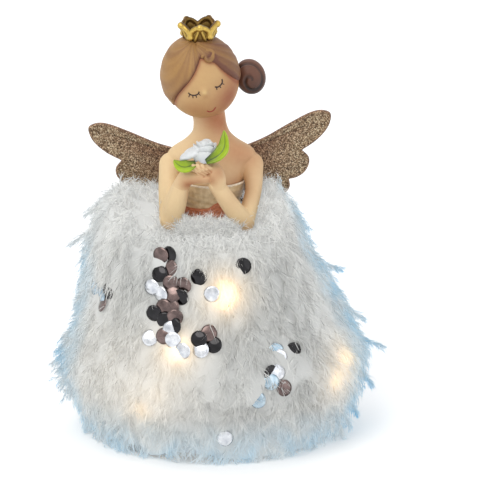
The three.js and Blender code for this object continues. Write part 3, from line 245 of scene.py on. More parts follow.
spring_turns = 2.5
spring_wire = 0.35
spring_wide = 3.6
spring_narrow = 2.1
spring_shares = np.linspace(0, 1, 61)
for i in range(1, 4):
    low, high = np.array(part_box(f"spring_{i}")) / MM
    middle = (low + high) / 2
    reach = high[0] - low[0] - 2 * spring_wire
    foot, onward = (high[0] - spring_wire, -1) if middle[0] > 0 else (low[0] + spring_wire, 1)
    around = 2 * np.pi * spring_turns * spring_shares
    radius = spring_wide + (spring_narrow - spring_wide) * spring_shares
    coil = np.stack([foot + onward * reach * spring_shares, middle[1] + radius * np.sin(around),
                     middle[2] + radius * np.cos(around)], axis=1)
    fix(poly_tube(f"coil_spring_{i}", coil, spring_wire, plated), "steel", f"spring_{i}")


# Foam core and dowel: a bell moulded from white foam beads, whose round cells show at the surface, with a
# turned birch dowel glued into it.
bead_size = 3
foam, foam_tree, foam_place = shade("bead foam")
foam_cells = add_node(foam_tree, "TexVoronoi", {"Scale": 1 / (bead_size * MM), "Vector": foam_place})
foam_share = foam_cells.outputs["Distance"]
foam_color = ramp(foam_tree, foam_share, (0, srgb(246, 246, 243)), (1, srgb(220, 221, 219)))
foam_relief = relief(foam_tree, foam_share, 0.5, 0.4, True)
coat(foam_tree, {"Base Color": foam_color, "Normal": foam_relief, "Roughness": 0.9})
dress(foam, "skirt_form")
birch = grained("birch", srgb(186, 156, 112), srgb(214, 188, 148), 0.75, 1.2, 0.2, 0.1)
dress(birch, "bust_dowel")


# Light string: lacquered copper wire wound round the core in an even spiral, with ten warm lights on it.
# It comes out of the battery box at the foot.
core_bottom = 7.3
core_height = 98.0
core_shares = np.array([[0, 1], [0.15, 0.985], [0.35, 0.93], [0.55, 0.83], [0.75, 0.68], [0.88, 0.52],
                        [0.95, 0.38], [1, 0.25]])
core_radius = 56.5
wire_radius = 0.6
wire_reach = 1.8
wire_foot = 13.0
wire_pitch = 16.8
wire_start = 0.011
wire_turns = 4.735
# From the battery box to the first turn
wire_exit = [(37.95, 0, wire_foot), (46, 0, wire_foot), (54, 0.2, wire_foot), (57.2, 1.4, wire_foot)]


def core_at(height):
    """The core's radius at a height."""
    return core_radius * np.interp((height - core_bottom) / core_height, core_shares[:, 0], core_shares[:, 1])


def core_lean_at(height):
    """How far the core's face leans back at a height, as an angle."""
    return math.atan((core_at(height - 2) - core_at(height + 2)) / 4)


def about_axis(radius, around, height):
    """Places about the upright axis, for radii, angles and heights."""
    return np.stack(np.broadcast_arrays(radius * np.cos(around), radius * np.sin(around), height), axis=-1)


def wire_place(turn):
    """A place on the wire after so many turns."""
    height = wire_foot + wire_pitch * turn
    lean = core_lean_at(height)
    radius = core_at(height) + wire_reach * math.cos(lean)
    return about_axis(radius, 2 * math.pi * turn, height + wire_reach * math.sin(lean))


copper = grained("lacquered copper", srgb(170, 112, 74), srgb(200, 142, 98), 0.3, 0.8, 0.05, 0.02, 0.9)
wire_path = wire_exit + [wire_place(wire_start + wire_turns * share) for share in np.linspace(0, 1, 241)]
fix(poly_tube("light_wire", wire_path, wire_radius, copper), "copper_wire", "led_string")


# Lights: clear warm lenses with a domed tip, clipped on the wire so that they stand up along the core.
# They glow all the time in this state.
def add_mesh(name, form, material, smooth=True):
    """A mesh piece from a form's points and faces."""
    points, faces = form
    data = bpy.data.meshes.new(name)
    data.from_pydata((np.array(points) * MM).tolist(), [], [tuple(face) for face in faces])
    data.validate()
    data.polygons.foreach_set("use_smooth", [smooth] * len(data.polygons))
    data.materials.append(material)
    data.update()
    piece = bpy.data.objects.new(name, data)
    scene.collection.objects.link(piece)
    return piece


def lathe(profile, sides):
    """A profile of radii and heights turned round Z, closed at radius 0."""
    points, faces, rows = [], [], []
    for radius, height in profile:
        around = 2 * np.pi * np.arange(sides if radius else 1) / sides
        rows.append(range(len(points), len(points) + len(around)))
        points += list(about_axis(radius, around, height))
    for low, high in zip(rows, rows[1:]):
        for side in range(sides):
            after = (side + 1) % sides
            corners = [low[side % len(low)], low[after % len(low)],
                       high[after % len(high)], high[side % len(high)]]
            faces.append(list(dict.fromkeys(corners)))
    return points, faces


def moved(points, stand):
    """Points that a matrix turns and moves."""
    stand = np.array(stand)
    return np.asarray(points) @ stand[:3, :3].T + stand[:3, 3]


lens_glow, lens_tree, _ = shade("warm light")
coat(lens_tree, {"Base Color": srgb(255, 232, 190), "Emission Color": (1.0, 0.72, 0.36, 1),
                 "Emission Strength": 14.0, "Roughness": 0.15})
light_turns = (0.42, 0.66, 0.9, 1.4, 1.67, 1.95, 2.35, 2.7, 3.25, 3.78)
lens_lift = 0.9
lens_profile = [(0, 0), (1.3, 0), (1.5, 0.4), (1.5, 2.6), (1.25, 3.5), (0.7, 4.2), (0, 4.5)]
lens_points, lens_faces = lathe(lens_profile, 20)
for i, turn in enumerate(light_turns, 1):
    lean = core_lean_at(wire_foot + wire_pitch * turn)
    stand = Matrix.Translation(wire_place(turn)) @ Matrix.Rotation(2 * math.pi * turn, 4, "Z")
    stand = stand @ Matrix.Rotation(-lean, 4, "Y") @ Matrix.Translation((0, 0, lens_lift))
    lens = add_mesh(f"light_{i:02d}", (moved(lens_points, stand), lens_faces), lens_glow)
    fix(lens, "led_lens", f"led_{i:02d}")


# Sequin fabric: a skirt of silver-grey satin, gathered in soft folds at the waist and closed in under the
# feathers. It bulges out a little in the places where the sequins are sewn on in strips.
fabric_bottom = 3.8
fabric_top = 105.0
fabric_foot_radius = 57.0
fabric_waist = 100
fold_depth = 3.0
skirt_radius = 79.0
skirt_height = 124.0
skirt_shares = np.array([[0, 0.81], [0.065, 0.86], [0.16, 0.925], [0.28, 0.985], [0.36, 0.975], [0.48, 0.89],
                         [0.65, 0.8], [0.77, 0.735], [0.89, 0.685], [0.97, 0.62], [1, 0.56]])
# How much fuller the skirt is at the viewer's left than on the average, by height
fuller_left = np.array([[0, -0.02], [15, -0.02], [45, -0.025], [62, 0.0], [80, 0.055], [98, 0.14],
                        [124, 0.17]])


def skirt_at(height, around):
    """The radius that the feather tips reach at a height and an angle."""
    plain = skirt_radius * np.interp(height / skirt_height, skirt_shares[:, 0], skirt_shares[:, 1])
    return plain * (1 - np.interp(height, fuller_left[:, 0], fuller_left[:, 1]) * np.cos(around))


def skirt_spot(around, height, under):
    """A place so far under the feather tips."""
    return about_axis(skirt_at(height, around) - under, around, height)


def angle_of(spots):
    """The angle about the upright axis at which each place lies."""
    return np.arctan2(spots[..., 1], spots[..., 0])


# The camera's view in pixels, and the shares of a ray between which the skirt is looked for
seen_pixels = 480
skirt_starts, skirt_ends = 0.93, 1.03


def seen_on_skirt(px, py, depth):
    """Where a pixel of the camera's view falls on the skirt, so far under its feather tips."""
    across = (px - seen_pixels / 2) / seen_pixels * seen_width
    upward = (seen_pixels / 2 - py) / seen_pixels * seen_width
    forward = Vector((0, math.cos(look_down), -math.sin(look_down)))
    up = Vector((0, math.sin(look_down), math.cos(look_down)))
    way = forward * look_distance + Vector((1, 0, 0)) * across + up * upward
    shares = np.linspace(skirt_starts, skirt_ends, 2001)[:, None]
    spots = (np.array(camera.location) + shares * np.array(way)) / MM
    inside = np.hypot(spots[:, 0], spots[:, 1]) < skirt_at(spots[:, 2], angle_of(spots)) - depth
    return spots[np.argmax(inside)]


def ring_faces(rows, count, joined=False):
    """The faces between rings of equal counts, also from the last ring to the first where joined."""
    faces = []
    for row in range(rows if joined else rows - 1):
        low, high = row * count, (row + 1) % rows * count
        faces += [(low + i, low + (i + 1) % count, high + (i + 1) % count, high + i) for i in range(count)]
    return faces


# Sequins by the tone of their painted reflection, at the pixels where they show between the feathers,
# seen from the front
sequin_views = {
    "brown": [(161, 255), (171, 268), (171, 283), (184, 285), (173, 294), (164, 307), (172, 307), (175, 317),
              (164, 336), (209, 333), (103, 304), (284, 388)],
    "dark": [(170, 254), (160, 274), (199, 277), (181, 297), (165, 320), (174, 326), (243, 266), (154, 313),
             (214, 345), (199, 339), (293, 350), (271, 373), (109, 291)],
    "silver": [(161, 294), (171, 329), (173, 340), (183, 351), (212, 294), (201, 350), (152, 287), (150, 338),
               (279, 357), (278, 372), (225, 438)],
    "sky": [(102, 295), (96, 289), (271, 382), (258, 400), (276, 351)],
}
# Those beyond these pixels, low down at both sides of the front, lie half buried
buried_left, buried_right = 120, 252
sequin_depth = 3.5
buried_depth = 1.3
sequin_spots = []
for tone, views in sequin_views.items():
    for px, py in views:
        sunk = buried_depth if px < buried_left or px > buried_right else 0
        sequin_spots.append((tone, seen_on_skirt(px, py, sequin_depth + sunk)))
# Like patches on the sides and back hang down the skirt in strips, by angle, top and count
sequin_strips = ((28, 88, 8), (62, 60, 9), (100, 92, 9), (136, 58, 8), (162, 84, 7))
strip_pitch = 5.2
chance = np.random.default_rng(7)
for strip_around, strip_top, strip_count in sequin_strips:
    for i in range(strip_count):
        height = strip_top - strip_pitch * i + chance.uniform(-1, 1)
        around = math.radians(strip_around + chance.uniform(-3.5, 3.5) * (1.6 if i > 2 else 1))
        spot = skirt_spot(around, height, sequin_depth + chance.uniform(0, 1.5))
        sequin_spots.append((("brown", "dark", "silver")[chance.integers(3)], spot))
sequin_places = np.array([spot for _, spot in sequin_spots])
# The sequins of the front lie bare between these places, and half buried beside them
bare_left, bare_right = -45, 20
beside_bare = (sequin_places[:, 0] < bare_left) | (sequin_places[:, 0] > bare_right)
half_buried = (sequin_places[:, 1] < 0) & beside_bare

fabric_lining = 0.4
fabric_space = 4.2
fabric_steps = 288
fabric_rows = 45
sewn_under = 1.6
bulge_flat = 2.0
bulge_fade = 7.0
bulge_share = 0.9
fabric_around = 2 * np.pi * np.arange(fabric_steps) / fabric_steps
fabric_points = []
for share in np.linspace(0, 1, fabric_rows):
    height = fabric_bottom + (fabric_top - fabric_bottom) * share
    carrier = fabric_foot_radius if height < core_bottom else core_at(height)
    lean = math.pi / 4 if height > fabric_waist else core_lean_at(max(height, core_bottom + 2))
    space = np.interp(share, [0, 0.1, 0.86, 0.97, 1], [0, 1, 1, 0.12, 0.1])
    depth = fold_depth * np.interp(share, [0, 0.1, 0.5, 0.86, 0.97, 1], [0.7, 1, 0.8, 0.35, 0.02, 0])
    folds = 0.5 + 0.3 * np.cos(12 * fabric_around) + 0.2 * np.cos(29 * fabric_around + 3 * share)
    radius = carrier + (fabric_lining + fabric_space * space) / math.cos(min(lean, 0.9)) + depth * folds
    spots = about_axis(radius, fabric_around, height)
    near = np.linalg.norm((sequin_places - spots[:, None]) * np.array([1, 1, 1.2]), axis=2).min(1)
    bulge = np.exp(-((np.maximum(near - bulge_flat, 0) / bulge_fade) ** 2))
    outer = skirt_at(height, fabric_around) - sequin_depth - sewn_under
    radius += bulge * np.maximum(outer - radius, 0) * bulge_share
    fabric_points += list(about_axis(radius, fabric_around, height))
thread = 0.5
satin, satin_tree, satin_place = shade("silver satin")
satin_threads = {"Scale": 1 / (thread * MM), "Distortion": 1.5, "Vector": satin_place}
satin_weave = add_node(satin_tree, "TexWave", satin_threads)
satin_color = ramp(satin_tree, satin_weave.outputs["Fac"], (0, srgb(176, 178, 184)), (1, srgb(222, 223, 228)))
coat(satin_tree, {"Base Color": satin_color, "Roughness": 0.38, "Sheen Weight": 0.4})
skirt_cloth = add_mesh("skirt_cloth", (fabric_points, ring_faces(fabric_rows, fabric_steps)), satin)
fix(skirt_cloth, "skirt_fabric", "sequin_skirt")


# Sequins: cupped mirror discs of 8 mm, punched from silver metallised film. Each hangs by a thread
# through a hole near its top edge and overlaps the one below. Their dark brown, black and sky blue tones
# are painted reflections of the room in the silver film.
def film(name, color, dark, roughness, metal=1.0):
    """Metallised film, a little cloudy, so that one disc isn't like the next."""
    material = grained(name, dark, color, roughness, 3.5, bump=0.25, depth=0.15, metal=metal, detail=2.0)
    coat(material.node_tree, {"Coat Weight": 0.5})
    return material


# Painted reflections: brown, black and sky blue discs on silver film; the silver ones keep the film's own
# colour
sequin_reflection_films = {
    "brown": film("brown film", srgb(128, 108, 104), srgb(78, 64, 62), 0.22, 0.85),
    "dark": film("dark film", srgb(34, 32, 36), srgb(6, 6, 9), 0.12, 0.8),
    "sky": film("sky film", srgb(190, 206, 216), srgb(134, 160, 178), 0.2),
    "silver": film("silver film", srgb(238, 240, 243), srgb(186, 190, 198), 0.22),
}
disc_lift = 0.4
disc_profile = [(0, 0.55), (1.6, 0.5), (3.1, 0.22), (4.1, 0.0), (4.1, -0.14), (3.1, 0.06), (1.6, 0.34),
                (0, 0.39)]
disc_points, disc_faces = lathe(disc_profile, 20)
chance = np.random.default_rng(11)
for tone, material in sequin_reflection_films.items():
    points, faces = [], []
    for spot in [spot for spot_tone, spot in sequin_spots if spot_tone == tone]:
        lean = chance.uniform(-0.05, 0.4)
        turn = angle_of(spot) + chance.uniform(-0.3, 0.3)
        stand = Matrix.Translation(spot) @ Matrix.Rotation(turn, 4, "Z")
        stand = stand @ Matrix.Rotation(math.pi / 2 - lean, 4, "Y") @ Matrix.Translation((0, 0, disc_lift))
        faces += [[len(points) + corner for corner in face] for face in disc_faces]
        points += list(moved(disc_points, stand))
    fix(add_mesh(f"sequins_{tone}", (points, faces), material), "sequin")


# Feathers: white marabou trim sewn round the skirt in four rows. Each plume has a soft quill with loose
# barbs on all sides. Painted light in the down: a faint glow all over that is stronger at the rims, a pale
# blue light at the sides and the hem, a warm glow round each light, and painted shade at the barbs' roots.
def read_share(tree, name):
    """A share that the mesh keeps at each point."""
    return add_node(tree, "Attribute", {}, attribute_name=name).outputs["Fac"]


def keep_share(piece, name, values):
    """Keeps a share at each point of the mesh, for its colour."""
    kept = piece.data.attributes.new(name, "FLOAT", "POINT")
    kept.data.foreach_set("value", np.clip(values, 0, 1).astype(np.float32))


def blend_colors(tree, share, first, second, blend="MIX"):
    """Goes from the first colour to the second with a share; each is a colour or a socket."""
    sockets = {"Factor": share, 6: first, 7: second}
    return add_node(tree, "Mix", sockets, data_type="RGBA", blend_type=blend).outputs[2]


down_white, down_tree, _ = shade("marabou down")
down_blue_light_share, down_warm_glow_share = read_share(down_tree, "blue"), read_share(down_tree, "warm")
# Painted light in the down's colour: a shaded and a lit tone, warm near the lights, pale blue at the sides
# and hem
down_color = blend_colors(down_tree, read_share(down_tree, "tone"), srgb(162, 164, 163), srgb(216, 216, 212))
down_color = blend_colors(down_tree, down_warm_glow_share, down_color, srgb(255, 232, 204))
down_color = blend_colors(down_tree, down_blue_light_share, down_color, srgb(100, 170, 204))
# The down glows though it is no lamp: faintly all over, more at its rims, pale blue at the sides, warm near
# the lights
down_rim_glow_share = read_share(down_tree, "rim")
down_glow = blend_colors(down_tree, down_rim_glow_share, (0.13, 0.13, 0.127, 1.0), (0.3, 0.3, 0.295, 1.0))
down_glow = blend_colors(down_tree, down_blue_light_share, down_glow, (0.07, 0.2, 0.29, 1.0))
down_glow = blend_colors(down_tree, down_warm_glow_share, down_glow, (0.8, 0.62, 0.38, 1.0))
coat(down_tree, {"Base Color": down_color, "Roughness": 0.9, "Specular IOR Level": 0.2,
                 "Emission Color": down_glow, "Emission Strength": 1.0})
# Where the warm glow of each light is painted on the down: a little beside the light, by degrees round and
# height
glow_shift = np.array([[0, 3], [4, 3], [0, 9], [0, 3], [8, -4], [-9, 0], [0, 3], [4, 1], [0, 3], [-4, 8]])
light_strength = np.array([0.8, 0.22, 0.38, 0.8, 0.08, 0.45, 0.8, 0.9, 0.9, 1.2])
light_spots = np.array([wire_place(turn) for turn in light_turns])
glow_around = angle_of(light_spots) + np.radians(glow_shift[:, 0])
glow_places = skirt_spot(glow_around, light_spots[:, 2] + glow_shift[:, 1], 2)
crest_height = 124
crest_dip = 15
# The feathers stay low in front, where the sine of the angle is below this
front_ends_at = -0.6
collar_waist = 21.5
collar_inset = 3
parting_rise = 9.0
parting_around, parting_half = math.radians(-101), math.radians(9)
down_under = 4.6
down_space = 6.5
# The arms and chest as bars, so that no barb passes through them
body_bars = [((-21.2, 0.8, 137), (-21.1, -16, 111.8), 5.6), ((-21.1, -16, 111.8), (-14.6, -24.1, 132.2), 5.4),
             ((20.4, 0.8, 137), (16.6, -17.4, 111.0), 5.4), ((16.6, -17.4, 111.0), (1.6, -26, 132.7), 5.2),
             ((-6, 0, 112), (-6, 0, 135), 12.5), ((6, 0, 112), (6, 0, 135), 12.5)]


def unit(ways):
    """The same ways with a length of one."""
    return ways / np.maximum(np.linalg.norm(ways, axis=-1, keepdims=True), 1e-9)


def away_from(spots, places):
    """The distance of each spot from each place."""
    return np.linalg.norm(spots[:, None, :] - places[None, :, :], axis=2)


def crest_at(around):
    """The top of the collar row at an angle, low in front where the elbows rest."""
    facing = np.clip((np.cos(around + math.pi / 2) - 0.25) / 0.6, 0, 1)
    return crest_height - crest_dip * facing * facing * (3 - 2 * facing)


def top_spot(around, share, over):
    """A place on the collar's upper side, from its rim to the waist."""
    crest = crest_at(around)
    rim = skirt_at(crest - 5, around) - collar_inset
    height = crest - 6 + 5 * np.sin(math.pi * np.clip(share * 1.3, 0, 1)) + over
    return about_axis(rim + (collar_waist - rim) * share, around, height)


def hem_parting(around):
    """How far the hem is lifted where its feathers part, at the front and to the left."""
    return parting_rise * np.exp(-((around - parting_around) / parting_half) ** 2)


def depth_in_body(spots):
    """How far each place lies inside the bust."""
    deepest = np.full(len(spots), -99.0)
    for start, end, radius in body_bars:
        start, way = np.array(start), np.array(end) - np.array(start)
        share = np.clip((spots - start) @ way / (way @ way), 0, 1)
        deepest = np.maximum(deepest, radius - np.linalg.norm(spots - start - share[:, None] * way, axis=1))
    return deepest


def beyond_outline(spots):
    """How far each place lies outside the outline that the feather tips make."""
    around = angle_of(spots)
    behind = np.sin(around) > front_ends_at
    aside = np.hypot(spots[:, 0], spots[:, 1]) - skirt_at(spots[:, 2], around)
    aside += 5.0 * np.clip((spots[:, 2] - 112) / 12, 0, 1) * behind
    return np.maximum(aside, spots[:, 2] - crest_at(around) - 3.5 * behind)


def outward_at(spots, rise):
    """The way that the down faces at each place, turned up by a rise, and more so near the crest."""
    ways = spots * np.array([1, 1, 0.0]) + np.array([0, 0, rise])
    ways[..., 2] += 70 * np.clip((spots[..., 2] - crest_at(angle_of(spots)) + 12) / 12, 0, 1)
    return unit(ways)


def plumes(chance, roots, ends, barbs, reach, breadth):
    """Barb strips of plumes that run from their roots to their ends, with seven points to a strip."""
    count = len(roots)
    length = np.linalg.norm(ends - roots, axis=1)[:, None, None]
    way = unit(ends - roots)[:, None, :]
    fall = np.array([0.0, 0.0, -1.0])
    droop = chance.uniform(0.05, 0.22, (count, 1, 1))
    share = (np.arange(barbs) + chance.uniform(0, 1, (count, barbs))) / barbs
    share = (0.04 + 0.96 * share ** 0.85)[..., None]
    spot = roots[:, None, :] + way * length * share + fall * droop * length * share ** 2
    along = unit(way + 2 * droop * share * fall)
    side = unit(np.cross(along, unit(chance.normal(size=(count, 1, 3)))))
    other = np.cross(along, side)
    flank = np.pi * chance.integers(0, 2, (count, barbs))
    about = (flank + chance.normal(0, 0.75, (count, barbs)))[..., None]
    open_out = np.radians(64 - 40 * share + chance.normal(0, 9, (count, barbs, 1)))
    grow = np.cos(open_out) * along + np.sin(open_out) * (np.cos(about) * side + np.sin(about) * other)
    long = reach * (0.5 + 0.5 * np.sin(np.pi * np.clip(share * 1.05, 0, 1)))
    long = long * chance.uniform(0.65, 1.25, share.shape)
    # The quill of each plume is one more strip
    with_quill = ((spot, roots[:, None, :]), (grow, way), (along, way), (long, length),
                  (np.full(share.shape, 0.3), droop))
    spot, grow, along, long, bend = (np.concatenate(pair, axis=1) for pair in with_quill)
    outside = outward_at(spot, 12.0)
    across = unit(np.cross(grow, unit(chance.normal(size=grow.shape))))
    face = np.cross(across, grow)
    facing = np.sign((face * outside).sum(-1, keepdims=True))
    curl = unit(chance.normal(size=grow.shape))
    curve = 0.3 * (along - grow) + bend * fall + 0.5 * np.minimum(1, 9 / long) * curl
    rows = []
    for station, wide in ((0, 1.0), (0.4, 0.9), (0.75, 0.6)):
        middle = spot + grow * long * station + curve * long * station ** 2
        half = across * facing * breadth * wide / 2
        rows += [middle - half, middle + half]
    rows.append(spot + grow * long + curve * long)
    strips = np.stack(rows, axis=2).reshape(-1, 7, 3)
    tips = np.broadcast_to(np.array([0, 0, 0.4, 0.4, 0.75, 0.75, 1.0]), strips.shape[:2])
    outward = np.repeat((0.85 * outside + 0.25 * face * facing).reshape(-1, 1, 3), 7, axis=1)
    # Each plume's tone differs at random, and its barbs are painted darker towards their roots as shade
    plume_tone = np.repeat(chance.uniform(size=(count, 1)), barbs + 1, axis=1).reshape(-1, 1)
    return strips, unit(outward), tips, np.clip(0.65 * plume_tone + 0.45 * tips - 0.03, 0, 1)


def under_down(bottom, top, over_crest, steps=200, rows=9):
    """The dense down at the roots of a row: a closed ring that hides the cloth between the quills."""
    around = 2 * np.pi * np.arange(steps) / steps
    rim = np.minimum(top, crest_at(around) - 5)
    rings = []
    for row in range(rows + 1):
        height = bottom + (rim - bottom) * row / rows
        lumps = 0.8 * np.sin(9 * around + height / 5) + 0.6 * np.sin(23 * around - height / 3)
        rings.append(skirt_spot(around, height, down_under - lumps))
    inner = [(core_at(max((bottom + top) / 2, core_bottom)) + down_space, (bottom + top) / 2)]
    if over_crest:
        rings += [top_spot(around, share, -2.0) for share in (0.1, 0.25, 0.45, 0.65, 0.85, 1.0)]
        inner = [(collar_waist + 0.5, crest_at(around) - 12), (core_at(97) + down_space, 97.0)]
    inner.append((core_at(bottom) + down_space if bottom > core_bottom else 60.0, bottom))
    rings += [about_axis(radius, around, height) for radius, height in inner]
    points = np.concatenate(rings)
    points[:, 2] = np.maximum(points[:, 2], 1 + hem_parting(angle_of(points)))
    return points, ring_faces(len(rings), steps, True)


def feather_row(name, node, strips, outward, tips, tones_and_root_shade, ring):
    """One row of trim as a mesh, with what each point keeps for the colour and its painted light."""
    down_points, down_faces = ring
    start = len(down_points)
    points = np.concatenate([down_points, strips.reshape(-1, 3)])
    normals = np.concatenate([outward_at(down_points, 8.0), outward.reshape(-1, 3)])
    tip_share = np.concatenate([np.full(start, 0.1), tips.reshape(-1)])
    # The dense ring at the roots is painted darker, as shade, than most barb tips
    tone = np.concatenate([np.full(start, 0.35), tones_and_root_shade.reshape(-1)])
    points[:, 2] = np.maximum(points[:, 2], 0.6)
    first = start + 7 * np.arange(len(strips))
    quads = [np.stack([first + low, first + low + 1, first + low + 3, first + low + 2], 1) for low in (0, 2)]
    ends = np.stack([first + 4, first + 5, first + 6], 1)
    faces = down_faces + np.concatenate(quads).tolist() + ends.tolist()
    row = add_mesh(name, (points, faces), down_white)
    row.data.normals_split_custom_set_from_vertices(normals.tolist())
    # Painted light: pale blue at the sides seen from the front and at the hem; glow at the rims, top and a
    # front-left patch; warm glow round each light
    x, y, z = points.T
    edge_on = np.abs(x) / skirt_at(z, angle_of(points))
    side_blue_light = np.clip((edge_on - 0.86) / 0.18, 0, 1) * np.where(x > 0, 1.0, 0.75)
    side_blue_light *= np.where(x < 0, np.clip((112 - z) / 20, 0.25, 1), 1.0)
    hem = np.clip((26 - z) / 26, 0, 1)
    patch = 0.5 + 0.5 * np.sin(z / 4.1 + 3 * np.sin(x / 6.3)) * np.sin(y / 5.3)
    spread = np.exp(-((x + 36) / 28) ** 2 - ((z - 42) / 24) ** 2) * (y < 0)
    rim_glow_places = (np.clip((edge_on - 0.6) / 0.4, 0, 1), hem, np.clip((z - 92) / 22, 0, 1), 0.7 * spread)
    away = away_from(points, glow_places)
    warm = light_strength * (0.9 * np.exp(-((away / 5) ** 2)) + 0.36 * np.exp(-((away / 12) ** 2)))
    keep_share(row, "blue", (0.4 + 0.6 * tip_share) * np.maximum(side_blue_light, 0.55 * hem) * (0.35 + 0.9 * patch))
    keep_share(row, "warm", warm.sum(1) + 0.07 * spread)
    keep_share(row, "rim", np.max(rim_glow_places, axis=0))
    keep_share(row, "tone", tone)
    fix(row, "feather", node)


def clear_of_sequins(chance, away, clear, fade, least_bare, least_buried):
    """Which plumes or barbs stay: few over a bare sequin, and more over one that lies half buried."""
    cover = np.clip((away - clear) / fade, np.where(half_buried, least_buried, least_bare), 1).min(1)
    return chance.uniform(size=len(away)) < cover


# Stray tufts that stand out of the outline, by row, as the height of their roots and their end
stray_tufts = {
    "collar": [(104, (-71, -6, 98)), (117, (-63, -8, 114))],
    "upper": [(86, (65.5, -4, 85))],
    "middle": [(62, (77, 4, 56)), (48, (86.5, -3, 44)), (54, (-75.5, -4, 48)), (50, (-77, -9, 44)),
               (47, (-78, -3, 41)), (44, (-78.5, -8, 38)), (41, (-79, -5, 35))],
    "hem": [(12, (-64, -16, 3)), (36, (-78.5, -10, 32)), (34, (-78.5, -2, 30)), (31, (-77.5, -8, 27)),
            (28, (-76, -4, 23)), (25, (-74, -12, 19)), (32, (81, -6, 25)), (16, (70, -20, 6)),
            (18, (73, -8, 10)), (14, (66, -26, 3))],
}
# The barbs of a plume and of a stray tuft: how many, how long and how broad
plume_barbs = (56, 7.4, 0.29)
tuft_barbs = (34, 3.6, 0.26)
# Where plumes and barbs thin out: how near a sequin, over what fade, and the least shares that stay
plume_cover = (3.0, 4.5, 0.04, 0.5)
barb_cover = (3.6, 1.2, 0.03, 0.34)
root_under = 9.5
root_rise = 5
tip_under = 1.4
hem_height = 2.0
# From least to most: how far a tip hangs down, a stray plume stands out and a barb passes the outline
plume_drop = (2, 12)
stray_share = 0.07
stray_reach = (2, 6)
barb_beyond = (0.3, 4.2)
waist_reach, waist_top = 32, 117.5
top_plumes = 420
front_plumes = 150
front_out = (17.5, 26)
front_root = 103.0
front_rise = (108, 116)
tuft_quills = 5
tuft_under = 5.0
# The rows: where the lowest and highest quills are sewn, how many, and the seed of their chances
feather_rows = (("hem", 3, 36, 760, 21), ("middle", 32, 64, 800, 22), ("upper", 60, 94, 780, 23),
                ("collar", 88, 122, 520, 24))
for row_name, row_low, row_high, row_plumes, row_seed in feather_rows:
    chance = np.random.default_rng(row_seed)
    around = chance.uniform(-np.pi, np.pi, row_plumes)
    height = np.minimum(chance.uniform(row_low, row_high, row_plumes), crest_at(around) - 2)
    roots = skirt_spot(around + chance.normal(0, 0.05, row_plumes), height + root_rise, root_under)
    drop = chance.uniform(*plume_drop, row_plumes)
    low = np.maximum(height - drop, hem_height + hem_parting(around))
    is_stray = chance.uniform(size=row_plumes) < stray_share
    stray = np.where(is_stray, chance.uniform(*stray_reach, row_plumes), 0)
    under = stray + (low - (height - drop)) * 0.5
    around = around + chance.normal(0, 0.17, row_plumes)
    ends = skirt_spot(around, low, tip_under + chance.uniform(-2, 3, row_plumes) - under)
    if row_name == "collar":
        around = chance.uniform(-np.pi, np.pi, top_plumes)
        share = chance.uniform(0, 1, top_plumes) ** 1.2
        top_ends = top_spot(around, share, 3.0 * (np.sin(around) > front_ends_at))
        top_ends += about_axis(1, around, 0) * chance.uniform(0, 6, top_plumes)[:, None]
        top_ends += chance.normal(0, 3.0, (top_plumes, 3)) + np.array([0, 0, 1.0])
        # Tufts that rise in front of the waist, between the elbows
        front_way = about_axis(1, -np.pi / 2 + chance.uniform(-0.95, 0.8, front_plumes), 0)
        front_roots = front_way * chance.uniform(*front_out, front_plumes)[:, None]
        front_roots[:, 2] = front_root
        front_ends = front_roots + front_way * chance.uniform(-1, 4, front_plumes)[:, None]
        front_ends[:, 2] = chance.uniform(*front_rise, front_plumes)
        roots = np.concatenate([roots, top_spot(around, share, -8), front_roots])
        ends = np.concatenate([ends, top_ends, front_ends])
        keep = depth_in_body(ends) < 1.0
        roots, ends = roots[keep], ends[keep]
    away = away_from((roots + 2 * ends) / 3, sequin_places)
    keep = clear_of_sequins(chance, away, *plume_cover)
    row_parts = plumes(chance, roots[keep], ends[keep], *plume_barbs)
    strips = row_parts[0]
    tips = strips[:, 6]
    keep = beyond_outline(tips) < chance.uniform(*barb_beyond, len(strips))
    keep |= (np.hypot(tips[:, 0], tips[:, 1]) < waist_reach) & (tips[:, 2] < waist_top)
    keep &= (depth_in_body(tips) < 0) & (depth_in_body(strips[:, 3]) < 0)
    away = np.min([away_from(strips[:, point], sequin_places) for point in (1, 3, 5, 6)], axis=0)
    keep &= clear_of_sequins(chance, away, *barb_cover)
    row_parts = [part[keep] for part in row_parts]
    for tuft_height, tuft_end in stray_tufts[row_name]:
        # Those at the far left spread more
        loose = 1.7 if tuft_end[0] < -73 else 0.5
        tuft_around = math.atan2(tuft_end[1], tuft_end[0]) + chance.normal(0, 0.012, tuft_quills)
        tuft_roots = skirt_spot(tuft_around, tuft_height + chance.normal(0, 0.8, tuft_quills), tuft_under)
        tuft_ends = np.array(tuft_end) + chance.normal(0, loose, (tuft_quills, 3))
        tuft = plumes(chance, tuft_roots, tuft_ends, *tuft_barbs)
        row_parts = [np.concatenate(pair) for pair in zip(row_parts, tuft)]
    ring = under_down(max(row_low - 2, 1.2), min(row_high - 2, 119), row_name == "collar")
    feather_row(f"feathers_{row_name}", f"feather_{row_name}", *row_parts, ring)


